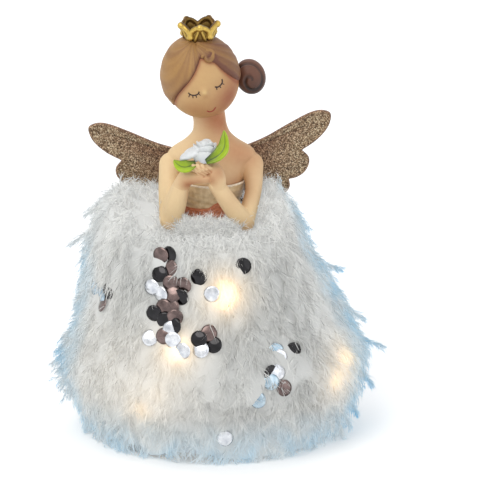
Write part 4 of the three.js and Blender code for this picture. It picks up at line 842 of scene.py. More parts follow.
# Bust: cast resin, hollow in the middle, painted in a matt skin tone. Its airbrushed reddish tint is mixed
# with painted shade: in the hollows, under the chin and on the side to the viewer's right.
# The chest, neck and folded arms are one casting, with the hands cupped under the rose.
def smooth_rows(rows, places):
    """Reads a table whose first column rises, with smooth curves through the other columns."""
    rows = np.array(rows, dtype=float)
    slopes = np.gradient(rows[:, 1:], rows[:, 0], axis=0)
    places = np.clip(places, rows[0, 0], rows[-1, 0])
    low = np.clip(np.searchsorted(rows[:, 0], places, side="right") - 1, 0, len(rows) - 2)
    span = (rows[low + 1, 0] - rows[low, 0])[..., None]
    t = (places - rows[low, 0])[..., None] / span
    first, turn = rows[low, 1:], rows[low + 1, 1:] - rows[low, 1:]
    leave, arrive = slopes[low] * span, slopes[low + 1] * span
    return first + leave * t + (3 * turn - 2 * leave - arrive) * t ** 2 + (leave + arrive - 2 * turn) * t ** 3


def smooth_line(places, steps):
    """A smooth line through places, with so many steps from one to the next."""
    table = np.column_stack([np.linspace(0, 1, len(places)), np.array(places, dtype=float)])
    return smooth_rows(table, np.linspace(0, 1, steps * (len(places) - 1) + 1))


def loft(rings, joined=False):
    """A closed skin through rings of equal counts: with a fan at each end, or joined last to first."""
    rings = np.array(rings, dtype=float)
    rows, count = rings.shape[:2]
    points = list(rings.reshape(-1, 3))
    faces = ring_faces(rows, count, joined)
    if not joined:
        points += [rings[0].mean(axis=0), rings[-1].mean(axis=0)]
        last = (rows - 1) * count
        faces += [(len(points) - 2, (i + 1) % count, i) for i in range(count)]
        faces += [(len(points) - 1, last + i, last + (i + 1) % count) for i in range(count)]
    return np.array(points), faces


def limb(places, radii, sides=20, steps=8):
    """A tapered round bar with domed ends through places."""
    middle = smooth_line(np.column_stack([places, radii]), steps)
    spots, sizes = middle[:, :3], middle[:, 3]
    ways = unit(np.gradient(spots, axis=0))
    domes = np.radians([80, 60, 40, 20])
    stations = [(spots[0] - ways[0] * sizes[0] * math.sin(b), ways[0], sizes[0] * math.cos(b)) for b in domes]
    stations += list(zip(spots, ways, sizes))
    stations += [(spots[-1] + ways[-1] * sizes[-1] * math.sin(b), ways[-1], sizes[-1] * math.cos(b))
                 for b in domes[::-1]]
    level = np.eye(3)[int(np.argmin(np.abs(spots[-1] - spots[0])))]
    around = 2 * np.pi * np.arange(sides)[:, None] / sides
    rings = []
    for spot, way, size in stations:
        side = unit(np.cross(level, way))
        rings.append(spot + size * (np.cos(around) * side + np.sin(around) * np.cross(way, side)))
    return loft(rings)


def fused(name, forms, cell, rounds, material):
    """One smooth body out of overlapping closed forms, as if modelled in putty."""
    points, faces = [], []
    for form_points, form_faces in forms:
        faces += [[len(points) + corner for corner in face] for face in form_faces]
        points += list(form_points)
    body = add_mesh(name, (points, faces), material)
    joining = body.modifiers.new("join", "REMESH")
    joining.mode = "VOXEL"
    joining.voxel_size = cell * MM
    joining.use_smooth_shade = True
    softening = body.modifiers.new("soften", "SMOOTH")
    softening.factor = 0.5
    softening.iterations = rounds
    shape = bpy.data.meshes.new_from_object(body.evaluated_get(bpy.context.evaluated_depsgraph_get()))
    body.modifiers.clear()
    body.data = shape
    return body


def points_of(piece):
    """The points of a mesh, in millimetres."""
    points = np.empty(3 * len(piece.data.vertices))
    piece.data.vertices.foreach_get("co", points)
    return points.reshape(-1, 3) / MM


def airbrush_and_shade(points, puffs):
    """The strength of puffs of airbrushed tint and painted shade, each with a place, a radius and a strength.
    """
    return sum(strength * np.exp(-((np.linalg.norm(points - np.array(place), axis=1) / radius) ** 2))
               for place, radius, strength in puffs)


def painted(name, base, shaded, roughness, grain=2.0, amount=0.12, metal=0.0):
    """Paint that goes from its base to a shaded tone with a share kept in the mesh."""
    material, tree, place = shade(name)
    mottle = {"Scale": 1 / (grain * MM), "Detail": 4, "Vector": place}
    noise = add_node(tree, "TexNoise", mottle).outputs["Fac"]
    spread = {0: noise, 1: amount, 2: read_share(tree, "shaded")}
    share = add_node(tree, "Math", spread, operation="MULTIPLY_ADD").outputs["Value"]
    coat(tree, {"Base Color": blend_colors(tree, share, base, shaded), "Roughness": roughness,
                "Normal": relief(tree, noise, 0.08, 0.1), "Metallic": metal})
    return material


bust_bottom = 109.9
bust_height = 53.0
shoulder_half = 26.0
# Half-width, half-depth, lean to the side and lean forward, as shares of the shoulders' half-width
bust_shares = [[0, 0.485, 0.39, 0, 0], [0.15, 0.5, 0.405, 0, 0], [0.3, 0.58, 0.47, 0, -0.03],
               [0.42, 0.62, 0.455, 0, -0.03], [0.53, 0.73, 0.41, 0, 0], [0.6, 0.84, 0.38, 0, 0.01],
               [0.64, 0.8, 0.36, 0, 0.01], [0.68, 0.7, 0.345, 0, 0.01], [0.715, 0.58, 0.335, -0.005, 0],
               [0.76, 0.455, 0.32, -0.01, -0.005], [0.81, 0.365, 0.305, -0.015, -0.02],
               [0.88, 0.32, 0.29, -0.03, -0.04], [1, 0.318, 0.28, -0.064, -0.08],
               [1.1, 0.32, 0.28, -0.115, -0.12]]
around_bust = 2 * np.pi * np.arange(64) / 64


def bust_spot(share, grow):
    """The bust's outline at a share of its height, grown outward."""
    wide, deep, aside, forward = np.moveaxis(smooth_rows(bust_shares, np.asarray(share, dtype=float)), -1, 0)
    return np.stack([aside * shoulder_half + (wide * shoulder_half + grow) * np.cos(around_bust),
                     forward * shoulder_half + (deep * shoulder_half + grow) * np.sin(around_bust),
                     bust_bottom + share * bust_height + 0 * around_bust], axis=-1)


bust_forms = [
    loft([bust_spot(share, 0.0) for share in np.linspace(0, 1.1, 56)]),
    limb([(-20.3, 0.8, 135.8), (-21.7, -7.2, 125.5), (-20.9, -16, 111.8)], [6.1, 4.8, 5.1], 24),
    limb([(-19.6, -16.4, 111.8), (-17.4, -20.4, 121), (-14.6, -24.1, 132.2)], [5.1, 5.0, 4.0], 24),
    limb([(-20.9, -4.5, 131), (-20.9, -11, 121), (-20.4, -16, 113)], [4.2, 4.7, 5.0]),
    limb([(-16.4, -20.8, 129), (-18.8, -18, 121), (-19.8, -17, 113)], [3.8, 4.7, 4.9]),
    limb([(-20.4, -7.5, 128), (-19.6, -14, 121), (-19.6, -15, 113)], [3.8, 4.5, 4.8]),
    limb([(19.7, 0.8, 135.8), (20.7, -7.2, 125.2), (16.6, -17.4, 111.0)], [6.1, 4.2, 4.5], 24),
    limb([(16.6, -17.4, 111.0), (10.4, -21.3, 119), (2.0, -26, 132.7)], [4.8, 4.7, 4.0], 24),
]
skin = painted("skin paint", srgb(232, 204, 158), srgb(170, 106, 66), 0.55)
bust = fused("bust", bust_forms, 0.42, 12, skin)
# Airbrushed tint and painted shade: under the chin, between and inside the arms, and on the side away from
# the light
keep_share(bust, "shaded", airbrush_and_shade(points_of(bust), [
    ((0, -9, 164), 9, 0.7), ((7, -6, 158), 8, 0.5), ((0, -11, 142), 14, 0.28), ((-11.5, -22, 132), 4.2, 0.8),
    ((-10.5, -12, 122), 5, 0.7), ((11, -9, 124), 8, 0.7), ((0, -26, 128), 4, 0.2), ((13, -10, 146), 10, 0.4),
    ((-20, -21, 107), 5, 0.3), ((17, -22, 106), 6, 0.4), ((21, -4, 141), 11, 0.42), ((-6, -13, 148), 5, 0.1),
    ((-12.8, -20.5, 126), 3.2, 0.55), ((-14.2, -18, 118), 3.4, 0.5), ((20, -8, 122), 7, 0.25),
    ((9, -24, 124), 7, 0.2),
]))
# The left hand lies flat under the right hand, whose fingers curl up under the bloom
hand_forms = [
    limb([(-15.0, -23.6, 131.0), (-12.4, -26.2, 135.4), (-7.5, -28.0, 136.6), (-2.2, -28.4, 136.2)],
         [4.1, 4.0, 3.4, 2.8], 24),
    limb([(3.0, -25.4, 131.0), (2.7, -27.6, 136.0), (1.4, -28.8, 140.0), (-1.2, -29.2, 141.6)],
         [4.1, 4.2, 3.9, 2.6], 24),
]
finger_lines = np.array([
    ((-4.6, -30.2, 138.4), (-11.0, -31.2, 142.6)), ((-3.4, -30.6, 139.0), (-8.9, -32.0, 143.2)),
    ((-2.4, -30.8, 139.8), (-6.8, -32.3, 143.5)), ((-1.2, -30.8, 140.4), (-4.6, -32.2, 143.5)),
    ((0.2, -30.6, 140.8), (-2.5, -31.8, 143.2)),
])
finger_bend = [0.3, -1.0, 0.1]
for root, tip in finger_lines:
    hand_forms.append(limb([root, (root + tip) / 2 + finger_bend, tip], [1.25, 1.12, 1.08], 14))
hands = fused("hands_cupped", hand_forms, 0.24, 1, skin)
hand_points = points_of(hands)
finger_away = []
for root, tip in finger_lines:
    along = np.clip((hand_points - root) @ (tip - root) / ((tip - root) @ (tip - root)), 0, 1)
    finger_away.append(np.linalg.norm(hand_points - root - along[:, None] * (tip - root), axis=1))
nearest, second = np.sort(finger_away, axis=0)[:2]
# Painted shade in the creases between the fingers, and on the left hand under the right one
crease_shade = np.exp(-(((second - nearest) / 0.4) ** 2)) * (nearest < 2.0)
keep_share(hands, "shaded", 0.1 + 0.4 * crease_shade + airbrush_and_shade(hand_points, [
    ((-11.4, -28, 133.5), 4, 0.8), ((-6, -31, 134.8), 4, 0.45), ((3.2, -31, 140), 4.6, 0.55),
    ((0, -31, 135), 3, 0.4),
]))
for piece in (bust, hands):
    fix(piece, "skin_paint", "torso", "arm_left", "arm_right")


# Bodice: a strapless top in pearl paint, cast with soft gathers that pull to the middle and finished with a
# narrow white piping along its upper edge.
def bodice_share_at(up):
    """The height of a line of the bodice, whose upper edge is low in front and rises to the arms."""
    edge = 0.335 + 0.015 * np.cos(around_bust) ** 2
    return 0.035 + (edge - 0.035) * up


bodice_thickness = 1.15
bodice_inside = 0.15
bodice_rows = []
for up in np.linspace(0, 1, 30):
    gathers = 0.28 * np.sin(9 * np.pi * up + 5 * np.cos(around_bust)) * math.sin(math.pi * min(up * 1.1, 1))
    bodice_rows.append(bust_spot(bodice_share_at(up), bodice_thickness + gathers))
bodice_rows += [bust_spot(bodice_share_at(up), bodice_inside) for up in (1.0, 0.0)]
pearl = grained("pearl paint", srgb(196, 168, 126), srgb(228, 206, 166), 0.34, 2.4, 0.1, 0.08)
fix(add_mesh("bodice_gathered", loft(bodice_rows, True), pearl), "pearl_paint", "bodice")
piping_radius = 0.55
piping_white = grained("piping", srgb(222, 202, 172), srgb(240, 230, 212), 0.4, 1.0, 0.1, 0.05)
piping_path = bust_spot(bodice_share_at(1.0), 1.1)
piping = poly_tube("bodice_piping", piping_path, piping_radius, piping_white, True, 10)
fix(piping, "pearl_paint", "bodice")


# Sash: an orange-brown band round the waist, cast with three soft folds that rise and widen to the
# viewer's right.
def sash_share_at(up):
    """The height of a line of the sash, as a share of the bust's height."""
    return 0.03 + (0.08 + 0.075 * np.exp(-(((np.cos(around_bust) - 0.3) / 0.32) ** 2))) * up


sash_thickness = 1.5
sash_inside = 0.6
sash_rows = []
for up in np.linspace(0, 1, 22):
    folds = 0.45 * abs(math.sin(3 * math.pi * up + 0.2)) ** 0.7
    sash_rows.append(bust_spot(sash_share_at(up), sash_thickness + folds + 0.5 * math.sin(math.pi * up)))
sash_rows += [bust_spot(sash_share_at(up), sash_inside) for up in (1.0, 0.0)]
sash_brown = grained("sash paint", srgb(168, 92, 56), srgb(204, 128, 90), 0.5, 1.8, 0.15, 0.1)
fix(add_mesh("sash_folded", loft(sash_rows, True), sash_brown), "sash_paint", "sash")


# Head: a round doll's head with a small nose and soft cheeks, tilted to the viewer's left. Its closed
# eyes and smile are painted lines.
head_half = np.array([17.8, 17.5, 19.3])
nose_out = 2.3
chin_out = 0.9
lips_out = 0.35
sockets_in = 0.35
head_centre = (-5.46, -5.04, 182.2)
head_tilt = math.radians(-18)
head_turn = math.radians(3)
head_nod = math.radians(5)
head_stand = (Matrix.Translation(head_centre) @ Matrix.Rotation(head_tilt, 4, "Y")
              @ Matrix.Rotation(head_turn, 4, "Z") @ Matrix.Rotation(head_nod, 4, "X"))


def ball_form(columns, rows, shape):
    """A closed ball whose directions a function turns into places."""
    fall = np.pi * (1 - np.arange(1, rows) / rows)[:, None]
    around = 2 * np.pi * np.arange(columns)[None, :] / columns
    ways = about_axis(np.sin(fall), around, np.cos(fall))
    points, faces = loft(shape(ways.reshape(-1, 3)).reshape(ways.shape))
    points[-2:] = shape(np.array([[0, 0, -1.0], [0, 0, 1.0]]))
    return points, faces


def head_spots(ways):
    """Places on the face and skull for directions from the head's centre."""
    x, y, z = ways.T
    low, facing = np.maximum(-z, 0), np.maximum(-y, 0)
    full = 1 + 0.15 * low * (1 - 0.25 * low)
    nose = np.exp(-(((x + 0.01) / 0.1) ** 2 + ((z + 0.17) / 0.11) ** 2)) * facing
    chin = np.exp(-((x / 0.25) ** 2 + ((z + 0.8) / 0.16) ** 2)) * facing
    cheeks = 0.035 * np.exp(-(((z + 0.42) / 0.25) ** 2)) * facing
    sockets = np.exp(-(((np.abs(x - 0.05) - 0.36) / 0.17) ** 2 + ((z + 0.08) / 0.12) ** 2)) * facing
    lips = np.exp(-((x / 0.14) ** 2 + ((z + 0.66) / 0.07) ** 2)) * facing
    out = nose_out * nose + chin_out * chin + lips_out * lips - sockets_in * sockets
    return np.stack([x * head_half[0] * full * (1 + cheeks), y * head_half[1] * (1 - 0.1 * low ** 2) - out,
                     z * head_half[2] * full], axis=-1)


# The hairline's height as a share of the head's half-height, by the angle from the front in degrees
hairline = np.array([[-180, -0.66], [-140, -0.6], [-118, -0.58], [-96, -0.6], [-84, -0.52], [-72, -0.41],
                     [-61, -0.29], [-47, -0.11], [-30, 0.08], [-16.9, 0.226], [-6.6, 0.364], [2.8, 0.513],
                     [13.8, 0.635], [19.5, 0.578], [25.4, 0.495], [32.9, 0.415], [39.2, 0.195],
                     [49.9, -0.056], [76.7, -0.376], [95, -0.45], [130, -0.55], [180, -0.66]])


def from_hairline(ways):
    """How far each direction lies above the hairline."""
    turn = np.degrees(np.arctan2(ways[:, 0], -ways[:, 1]))
    level = np.maximum(np.sqrt(1 - np.clip(ways[:, 2], -1, 1) ** 2), 0.05)
    line = smooth_rows(hairline, turn)[:, 0]
    rise = (smooth_rows(hairline, turn + 1)[:, 0] - line) / math.radians(1) / level
    return (ways[:, 2] - line) * head_half[2] / np.sqrt(1 + np.clip(rise, -3, 3) ** 2)


head_points, head_faces = ball_form(160, 110, head_spots)
face_paint = painted("face paint", srgb(210, 177, 121), srgb(152, 90, 56), 0.55)
head = add_mesh("doll_head", (moved(head_points, head_stand), head_faces), face_paint)
# Painted shade on the face with airbrushed cheeks: more to the viewer's right, under the chin and along the
# hairline; a painted highlight on the nose and a painted shadow under it
keep_share(head, "shaded", airbrush_and_shade(head_points, [
    ((0, -8, 0), 40, 0.28), ((-0.3, -20, -3.2), 1.6, -0.4), ((-0.2, -19, -6.4), 1.7, 0.28),
    ((2.6, -19, -3.6), 1.4, 0.12), ((-8, -12, -13), 8, 0.3), ((9, -13, -11), 8, 0.4), ((3, -8, -21), 8, 0.4),
    ((14, -8, -4), 7, 0.3), ((-9, -12, 4), 4, 0.1), ((12, -8, -13), 7, 0.3), ((4, -14, 14), 6, 0.12),
]) + 0.55 * np.exp(-((from_hairline(unit(head_points / head_half)) / 1.3) ** 2)))
fix(head, "skin_paint", "head")


def on_face(across, up, lift):
    """A place on the face, for shares of the head's half-width and half-height, lifted a little."""
    way = np.array([[across, 0, up]])
    for _ in range(12):
        way[0, 1] = -math.sqrt(max(1 - way[0, 0] ** 2 - way[0, 2] ** 2, 0.01))
        found = head_spots(way)[0]
        way[0, 0] += across - found[0] / head_half[0]
        way[0, 2] += up - found[2] / head_half[2]
    found = head_spots(way)[0]
    return found + lift * unit(found)


lash_paint, lash_tree, _ = shade("lash paint")
coat(lash_tree, {"Base Color": srgb(58, 38, 30), "Roughness": 0.6})
lip_paint, lip_tree, _ = shade("lip paint")
coat(lip_tree, {"Base Color": srgb(146, 48, 36), "Roughness": 0.5})
left_lid = [(-0.449, -0.084), (-0.394, -0.155), (-0.298, -0.188), (-0.202, -0.174), (-0.146, -0.117)]
right_lid = [(0.3, -0.142), (0.374, -0.177), (0.463, -0.164), (0.532, -0.114), (0.552, -0.032)]
left_lashes = [[(-0.42, -0.13), (-0.47, -0.2)], [(-0.35, -0.17), (-0.37, -0.25)],
               [(-0.27, -0.185), (-0.27, -0.265)], [(-0.18, -0.155), (-0.15, -0.225)]]
right_lashes = [[(0.34, -0.165), (0.33, -0.235)], [(0.43, -0.17), (0.45, -0.235)],
                [(0.51, -0.13), (0.56, -0.19)]]
smile = [(-0.123, -0.742), (-0.062, -0.8), (0.039, -0.795), (0.136, -0.723)]
paint_lift = -0.05
for line_name, line, line_radius, line_paint in (
    ("lid_left", left_lid, 0.36, lash_paint), ("lid_right", right_lid, 0.38, lash_paint),
    *[(f"lash_left_{i}", lash, 0.26, lash_paint) for i, lash in enumerate(left_lashes, 1)],
    *[(f"lash_right_{i}", lash, 0.26, lash_paint) for i, lash in enumerate(right_lashes, 1)],
    ("smile", smile, 0.36, lip_paint),
):
    spots = moved([on_face(across, up, paint_lift) for across, up in smooth_line(line, 6)], head_stand)
    fix(poly_tube(line_name, spots, line_radius, line_paint, False, 8), "skin_paint")


# Hair: sculpted over the head, parted in front and swept down to both sides, with a small curl at the
# parting. Its edge is rounded and lies in a hollow against the face, with painted shade along it.
hair_thickness = 2.0
# How far out from the head's own surface the bun and the crown are seated
hair_seat = 1.9
# From inside the head over the rounded edge: how far above the hairline, and how thick the hair is there
hair_edge = ([-3.0, -0.5, 0.0, 0.45, 1.3, 3.2], [-2.2, -1.0, 0.0, 1.15, 1.85, hair_thickness])
parting_depth = 0.55


def comb_angle(ways):
    """The angle about the parting, along which the strands run."""
    return np.arctan2(ways[:, 2] - 0.95, ways[:, 0] - 0.1) + 0.25 * ways[:, 1]


def hair_spots(ways):
    """Places on the hair, which dips under the skin where the face shows."""
    x, y, z = ways.T
    above = from_hairline(ways)
    comb = comb_angle(ways)
    strands = 0.1 * np.cos(34 * comb) + 0.09 * np.cos(13 * comb + 1) + 0.05 * np.cos(71 * comb)
    parting = np.exp(-(((x - 0.12 - 0.1 * (z - 0.7)) / 0.035) ** 2))
    parting *= parting_depth * np.clip((z - 0.6) / 0.1, 0, 1) * (y < 0)
    size = np.interp(above, *hair_edge) + (strands - parting) * np.clip(above / 2, 0, 1)
    base = ways * head_half
    base[:, 0] *= 1 - 0.1 * np.maximum(-z, 0) ** 2
    return base + ways * size[:, None]


hair_points, hair_faces = ball_form(300, 190, hair_spots)
hair_ways = unit(hair_points / head_half)
hair_paint = painted("hair paint", srgb(168, 127, 72), srgb(104, 62, 44), 0.55, 1.2, 0.25)
hair = add_mesh("hair_sculpted", (moved(hair_points, head_stand), hair_faces), hair_paint)
# Darker streaks along the strands, and painted shade along the hairline, under the curl and to the viewer's
# right
hair_comb = comb_angle(hair_ways)
hair_shaded = 0.12 + 0.1 * np.cos(34 * hair_comb) + 0.12 * np.cos(13 * hair_comb + 1)
hair_shaded += np.exp(-np.maximum(from_hairline(hair_ways), 0) / 0.8)
hair_shaded += 0.45 * np.clip((hair_ways[:, 0] - 0.15) / 0.5, 0, 1)
# How far each place lies from the painted shadow under the curl, which is only in front
curl_shadow_x, curl_shadow_z = 8.2, 10.6
curl_shadow_away = np.hypot(hair_points[:, 0] - curl_shadow_x, hair_points[:, 2] - curl_shadow_z)
curl_shadow_away += 9.0 * (hair_points[:, 1] > 0)
keep_share(hair, "shaded", hair_shaded + 0.9 * np.exp(-((curl_shadow_away / 2.4) ** 2)))
fix(hair, "hair_paint", "hair")
curl_x, curl_z = 6.9, 11.9
curl_wide = 3.1
curl_narrow = 0.8
curl_lift = 1.5
curl_turns = np.linspace(0, 1, 34)
curl_bend = math.radians(150) - curl_turns * math.radians(400)
curl_size = curl_wide + (curl_narrow - curl_wide) * curl_turns
curl_across = curl_x + curl_size * np.cos(curl_bend)
curl_up = curl_z + 0.75 * curl_size * np.sin(curl_bend)
curl_out = np.sqrt(np.maximum(1 - (curl_across / head_half[0]) ** 2 - (curl_up / head_half[2]) ** 2, 0.01))
curl_path = np.stack([curl_across, -curl_out * (head_half[1] + curl_lift), curl_up], axis=1)
curl_radii = np.interp(curl_turns, [0, 0.15, 0.6, 1], [0.9, 1.7, 1.4, 0.7])
curl_points, curl_faces = limb(curl_path, curl_radii, 14, 2)
curl = add_mesh("hair_curl", (moved(curl_points, head_stand), curl_faces), hair_paint)
# The curl is painted darker towards its middle, as shade inside the coil
curl_away = np.hypot(curl_points[:, 0] - curl_x, curl_points[:, 2] - curl_z)
keep_share(curl, "shaded", 0.15 + 0.55 * np.exp(-((curl_away / 1.3) ** 2)))
fix(curl, "hair_paint")


# Bun: a rolled knot of hair, painted darker than the rest. It is seated on the back of the head, with its
# spiral turned to the front.
bun_half = np.array([7.5, 7.4, 8.9])
bun_groove = 0.95
bun_way = unit(np.array([0.905, 0.3, -0.42]))
bun_centre = bun_way * (head_half[0] + hair_seat + 0.92 * bun_half[1])


def bun_roll(ways):
    """How far from the bun's front each direction lies, and the wave of its spiral."""
    out = np.arccos(np.clip(-ways[:, 1], -1, 1))
    return out, np.cos(7 * out - np.arctan2(ways[:, 2], ways[:, 0]))


def bun_spots(ways):
    """Places on the bun, with a spiral groove about its front."""
    out, spiral = bun_roll(ways)
    fade = np.clip(out / 0.35, 0, 1) * np.clip((2.3 - out) / 0.7, 0, 1)
    grooves = -bun_groove * np.clip(spiral - 0.35, 0, 1) * fade
    return ways * bun_half + ways * (grooves + 0.12)[:, None] + bun_centre


bun_points, bun_faces = ball_form(150, 100, bun_spots)
bun_paint = painted("bun paint", srgb(106, 66, 48), srgb(38, 21, 16), 0.55, 1.2, 0.2)
bun = add_mesh("hair_bun_rolled", (moved(bun_points, head_stand), bun_faces), bun_paint)
bun_ways = unit((bun_points - bun_centre) / bun_half)
bun_out, bun_spiral = bun_roll(bun_ways)
# Painted shade in the spiral groove and on the underside of the bun
keep_share(bun, "shaded", 0.05 + 0.8 * np.clip(bun_spiral - 0.3, 0, 1) * (bun_out < 2.2)
           + 0.6 * np.clip(0.25 - bun_ways[:, 2], 0, 1))
fix(bun, "bun_paint", "hair_bun")


# Crown: a small cast crown in antique gold, a flared ring with five lobes edged by a rolled rim. Each
# lobe ends in a ball, and a bead sits in each notch.
crown_sunk = 3.6
crown_foot = head_half[2] + hair_seat - crown_sunk
crown_height = 11.4
crown_radius = 7.0
crown_flare = 2.3
flare_height = 10.0
# The height of the notches, and of the lobes above them, as shares of the crown's height
notch_share = 0.42
lobe_share = 0.44
crown_wall = 1.2
crown_tilt = Matrix.Rotation(math.radians(16), 4, "Y")


def lobe_top(around):
    """The height of the crown's edge at an angle."""
    return crown_height * (notch_share + lobe_share * np.abs(np.cos(5 * (around + np.pi / 2) / 2)) ** 0.55)


def crown_spot(around, share, inset):
    """A place on the crown's flared wall, in the head's frame."""
    radius = crown_radius + crown_flare * share ** 1.4 * lobe_top(around) / flare_height - inset
    return moved(about_axis(radius, around, crown_foot + lobe_top(around) * share), crown_tilt)


def bead(centre, half, columns=20, rows=14):
    """A ball about a centre."""
    return ball_form(columns, rows, lambda ways: ways * half + centre)


crown_around = -np.pi / 2 + 2 * np.pi * np.arange(120) / 120
crown_rows = [crown_spot(crown_around, share, 0.0) for share in np.linspace(0, 1, 12)]
crown_rows += [crown_spot(crown_around, share, crown_wall) for share in np.linspace(1, 0, 8)]
crown_forms = [loft(crown_rows, True)]
# The rolled rim, the foot ring and the cord above it, by their share of the wall and their radius
for rim_share, rim_radius in ((0.96, 1.35), (0.0, 1.0), (0.2, 0.6)):
    rim = crown_spot(np.append(crown_around, crown_around[:2]), rim_share, 0.3)
    crown_forms.append(limb(rim[::2], np.full(61, rim_radius), 12, 2))
for lobe in range(5):
    tip_around = -np.pi / 2 + 2 * np.pi * lobe / 5
    crown_forms.append(bead(crown_spot(tip_around, 0.96, -0.25), 1.8))
    crown_forms.append(bead(crown_spot(tip_around + np.pi / 5, 0.84, -0.25), 1.6))
    for side in (-1, 1):
        rib = [crown_spot(tip_around + side * 0.36 * (1 - up), 0.22 + 0.72 * up, -0.1)
               for up in (0, 0.3, 0.65, 1)]
        crown_forms.append(limb(rib, [0.6, 0.8, 0.75, 0.6], 10, 4))
gold = painted("antique gold", srgb(212, 180, 92), srgb(84, 58, 28), 0.3, 0.8, 0.3, 0.85)
crown = fused("crown_lobed", crown_forms, 0.28, 2, gold)
crown_points = points_of(crown)
crown.data.vertices.foreach_set("co", (moved(crown_points, head_stand) * MM).reshape(-1))
crown_upright = moved(crown_points, crown_tilt.transposed())
crown_lift = (crown_upright[:, 2] - crown_foot) / crown_height
crown_face = crown_radius + crown_flare * np.clip(crown_lift, 0, 1) ** 1.4
crown_inward = crown_face - np.hypot(crown_upright[:, 0], crown_upright[:, 1])
# Painted shade on the gold: darker on the inner side of the wall, darkest at the foot where the crown meets
# the hair
keep_share(crown, "shaded", (0.75 + 0.6 * crown_inward) * np.where(crown_inward > 0.9, 0.5, 1)
           + 0.7 * np.clip((0.3 - crown_lift) / 0.3, 0, 1))
fix(crown, "gold_paint", "crown")


# Rose: a white bloom of thin ruffled petals that rests in the hands, open towards the viewer's left. A
# broad outer petal hangs over the hand to the left.
rose_centre = np.array([-3.2, -27.9, 144.2])
rose_heart = np.array([3.4, 3.4, 5.4])
outer_petal = np.array([-11.2, -28.4, 147.6])
petal_columns, petal_rows = 26, 18


def petal_form(facing, radius, height, wide, tall, outward):
    """One rounded petal, bent round the bloom, with its upper edge rolled out."""
    def place(ways):
        across, thick, up = ways.T
        away = radius + outward * up + 0.65 * thick + 0.45 * np.maximum(up, 0) ** 3
        lift = height + tall * up - 0.5 * np.maximum(up, 0) ** 3
        return about_axis(away, facing + wide * across / radius, lift) + rose_centre
    return ball_form(petal_columns, petal_rows, place)


def outer_form(shift, half):
    """One swell of the outer petal, which slopes up to the bloom."""
    def place(ways):
        spots = ways * half * (1 + 0.06 * np.cos(5 * angle_of(ways)))[:, None]
        spots[:, 2] += 0.42 * half[0] * ways[:, 0]
        return outer_petal + shift + spots
    return ball_form(petal_columns, petal_rows, place)


rose_forms = [bead(rose_centre + np.array([0, 0, 5.6]), rose_heart, 24, 16)]
# The rings of petals: how many, their radius, height, half-width, half-height, flare and first angle
for petals, radius, height, wide, tall, outward, turn in (
    (5, 5.8, 3.6, 4.7, 3.5, 1.0, 0.9), (4, 4.7, 5.4, 4.5, 4.4, 0.6, 0.2), (3, 3.4, 7.0, 3.6, 4.2, 0.3, 1.3),
):
    for i in range(petals):
        rose_forms.append(petal_form(turn + 2 * np.pi * i / petals, radius, height, wide, tall, outward))
for petal_shift, petal_half in (((0, 0, 0), (4.6, 4.6, 2.1)), ((2.0, -1.4, 1.2), (4.4, 3.8, 2.2)),
                                ((1.4, 2.2, 1.4), (4, 3.4, 2))):
    rose_forms.append(outer_form(petal_shift, petal_half))
rose_white = painted("rose paint", srgb(221, 223, 223), srgb(166, 171, 182), 0.4, 1.5, 0.1)
rose = fused("rose_petals", rose_forms, 0.24, 2, rose_white)
from_heart = points_of(rose) - rose_centre
rose_out = np.hypot(from_heart[:, 0], from_heart[:, 1])
# Painted shade: darker low down and towards the outer petals, lighter at the top
keep_share(rose, "shaded", 0.75 - 0.1 * from_heart[:, 2] - 0.03 * rose_out)
fix(rose, "rose_paint", "rose_bloom")


# Leaves: two pointed lime leaves under the rose, folded along the midrib, with painted shade in dark green
# in the fold, along the lower edge and near the root.
leaf_green = painted("leaf paint", srgb(168, 196, 20), srgb(32, 58, 12), 0.35, 1.6, 0.2)
leaf_rows = 26
leaf_fold = 0.45
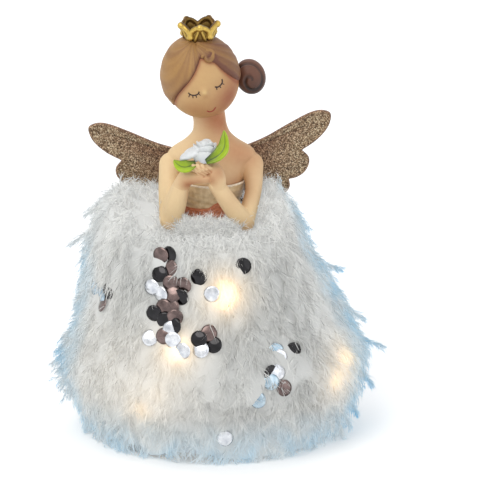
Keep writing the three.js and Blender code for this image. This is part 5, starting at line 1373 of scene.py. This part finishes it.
# Across the leaf as shares of its half-width, over the top and back underneath, with the thickness there
leaf_section = ((-1, 0.35), (-0.6, 0.3), (-0.15, 0.3), (0, 0.25), (0.15, 0.3), (0.6, 0.3), (1, 0.35),
                (1, -0.35), (0.5, -0.35), (0, -0.45), (-0.5, -0.35), (-1, -0.35))
leaf_midrib = np.array([1, 0.6, 0.15, 0, 0.15, 0.6, 1, 1, 0.5, 0, 0.5, 1])
for leaf_side, leaf_root, leaf_tip, leaf_bow, leaf_half, leaf_face, lower_edge_shade in (
    ("left", (-7.6, -31.4, 144.2), (-18.4, -31.0, 145.6), (-0.6, -1.6, -2.2), 3.1, (-0.1, -0.9, 0.45),
     [0, 0, 0, 0, 0, 0.5, 1, 1, 0.4, 0, 0, 0]),
    ("right", (-2.6, -34.0, 145.6), (6.2, -29.0, 160.2), (4.0, -0.8, -1.8), 3.2, (-0.45, -0.85, 0.15),
     [1, 0.5, 0, 0, 0, 0, 0, 0, 0, 0, 0.4, 1]),
):
    root, tip = np.array(leaf_root), np.array(leaf_tip)
    share = np.linspace(0, 1, leaf_rows)[:, None]
    middle = root + (tip - root) * share + np.array(leaf_bow) * np.sin(np.pi * share)
    along = unit(np.gradient(middle, axis=0))
    across = unit(np.cross(along, unit(np.array(leaf_face))))
    out = np.cross(across, along)
    half = leaf_half * np.maximum(np.sin(np.pi * np.clip(0.1 + 0.88 * share, 0, 1)) ** 0.8, 0.06)
    sections = []
    for place, thick in leaf_section:
        wave = 0.25 * np.sin(6 * np.pi * share + place) * abs(place)
        lift = leaf_fold * half * abs(place) ** 1.3 + thick + wave
        sections.append(middle + across * half * place + out * lift)
    leaf = add_mesh(f"leaf_{leaf_side}_folded", loft(np.stack(sections, axis=1)), leaf_green)
    # Painted shade: in the fold, along the lower edge and towards the root under the rose
    shaded = 0.75 * np.exp(-((leaf_midrib / 0.12) ** 2)) + 0.5 * np.array(lower_edge_shade)
    shaded = shaded + 0.6 * np.clip(1 - share / 0.35, 0, 1)
    # The two last points close the root and the tip
    keep_share(leaf, "shaded", np.append(shaded, [1.35, 0.75]))
    fix(leaf, "leaf_paint", f"leaf_{leaf_side}")


# Wings: flat plates with three lobes, covered with coarse glitter grain in champagne and brown. The edge
# and the part near the body are browner.
wing_length = 55.0
wing_height = 48.6
wing_lobes = [
    [(0.07, 0.57), (0.22, 0.63), (0.4, 0.72), (0.61, 0.86), (0.79, 0.97), (0.9, 1), (0.985, 0.97),
     (0.99, 0.88), (0.95, 0.78), (0.86, 0.67), (0.74, 0.574)],
    [(0.74, 0.574), (0.8, 0.51), (0.81, 0.43), (0.77, 0.34), (0.7, 0.285), (0.63, 0.265)],
    [(0.63, 0.265), (0.64, 0.19), (0.6, 0.12), (0.47, 0.04), (0.28, 0), (0.1, 0.08), (0.01, 0.26),
     (0.02, 0.46), (0.07, 0.57)],
]
wing_edge = np.concatenate([smooth_line(lobe, 8)[:-1] for lobe in wing_lobes]) * [wing_length, wing_height]
wing_way = unit(np.roll(wing_edge, -1, axis=0) - np.roll(wing_edge, 1, axis=0))
wing_inward = np.stack([wing_way[:, 1], -wing_way[:, 0]], axis=1)
# The rounded edge and the sunk faces, as depths, distances in from the outline and how brown each is
wing_section = ((0.5, 2.6, 0), (0.0, 0.9, 0.25), (0.35, 0.25, 0.6), (1.2, 0.0, 0.8), (2.05, 0.25, 0.6),
                (2.4, 0.9, 0.25), (1.9, 2.6, 0))
wing_root = (4.94, 13, bust_bottom + 0.04 * bust_height)
wing_sweep = 9
wing_pivot = 0.42 * wing_height
brown_reach = 26
glitter_grain = 0.42
glitter, glitter_tree, glitter_place = shade("wing glitter")
glitter_flakes = {"Scale": 1 / (glitter_grain * MM), "Vector": glitter_place}
glitter_cells = add_node(glitter_tree, "TexVoronoi", glitter_flakes)
glitter_split = add_node(glitter_tree, "SeparateColor", {"Color": glitter_cells.outputs["Color"]})
glitter_tones = ramp(glitter_tree, glitter_split.outputs["Red"], (0, srgb(74, 54, 35)),
                     (0.22, srgb(118, 93, 66)), (0.48, srgb(149, 125, 96)), (0.7, srgb(178, 154, 122)),
                     (0.86, srgb(214, 196, 164)), steps=True)
glitter_brown = read_share(glitter_tree, "shaded")
glitter_color = blend_colors(glitter_tree, glitter_brown, glitter_tones, srgb(186, 122, 88), "MULTIPLY")
coat(glitter_tree, {"Base Color": glitter_color, "Roughness": 0.42, "Metallic": 0.25,
                    "Normal": relief(glitter_tree, glitter_split.outputs["Green"], 0.9, 0.3)})
for wing_side, wing_name, wing_drop in ((1, "wing_right", 2.2), (-1, "wing_left", 9.7)):
    stand = Matrix.Translation(wing_root) @ Matrix.Translation((0, 0, wing_pivot))
    stand = stand @ Matrix.Rotation(math.radians(wing_sweep), 4, "Z")
    stand = stand @ Matrix.Rotation(math.radians(wing_drop), 4, "Y") @ Matrix.Translation((0, 0, -wing_pivot))
    count = len(wing_edge)
    edges = [(wing_edge + wing_inward * inset, depth) for depth, inset, _ in wing_section]
    points = np.concatenate([np.insert(edge, 1, depth, axis=1) for edge, depth in edges])
    faces = ring_faces(len(wing_section), count)
    faces += [tuple(range(count))[::-1], tuple(range(len(points) - count, len(points)))]
    inner = np.clip(1 - points[:, 0] / brown_reach, 0, 1) ** 0.8
    points = moved(points, stand) * np.array([wing_side, 1, 1])
    if wing_side > 0:
        faces = [tuple(reversed(face)) for face in faces]
    wing = add_mesh(f"{wing_name}_glittered", (points, faces), glitter, False)
    keep_share(wing, "shaded", np.maximum(inner, np.repeat([brown for _, _, brown in wing_section], count)))
    fix(wing, "wing_glitter", wing_name)
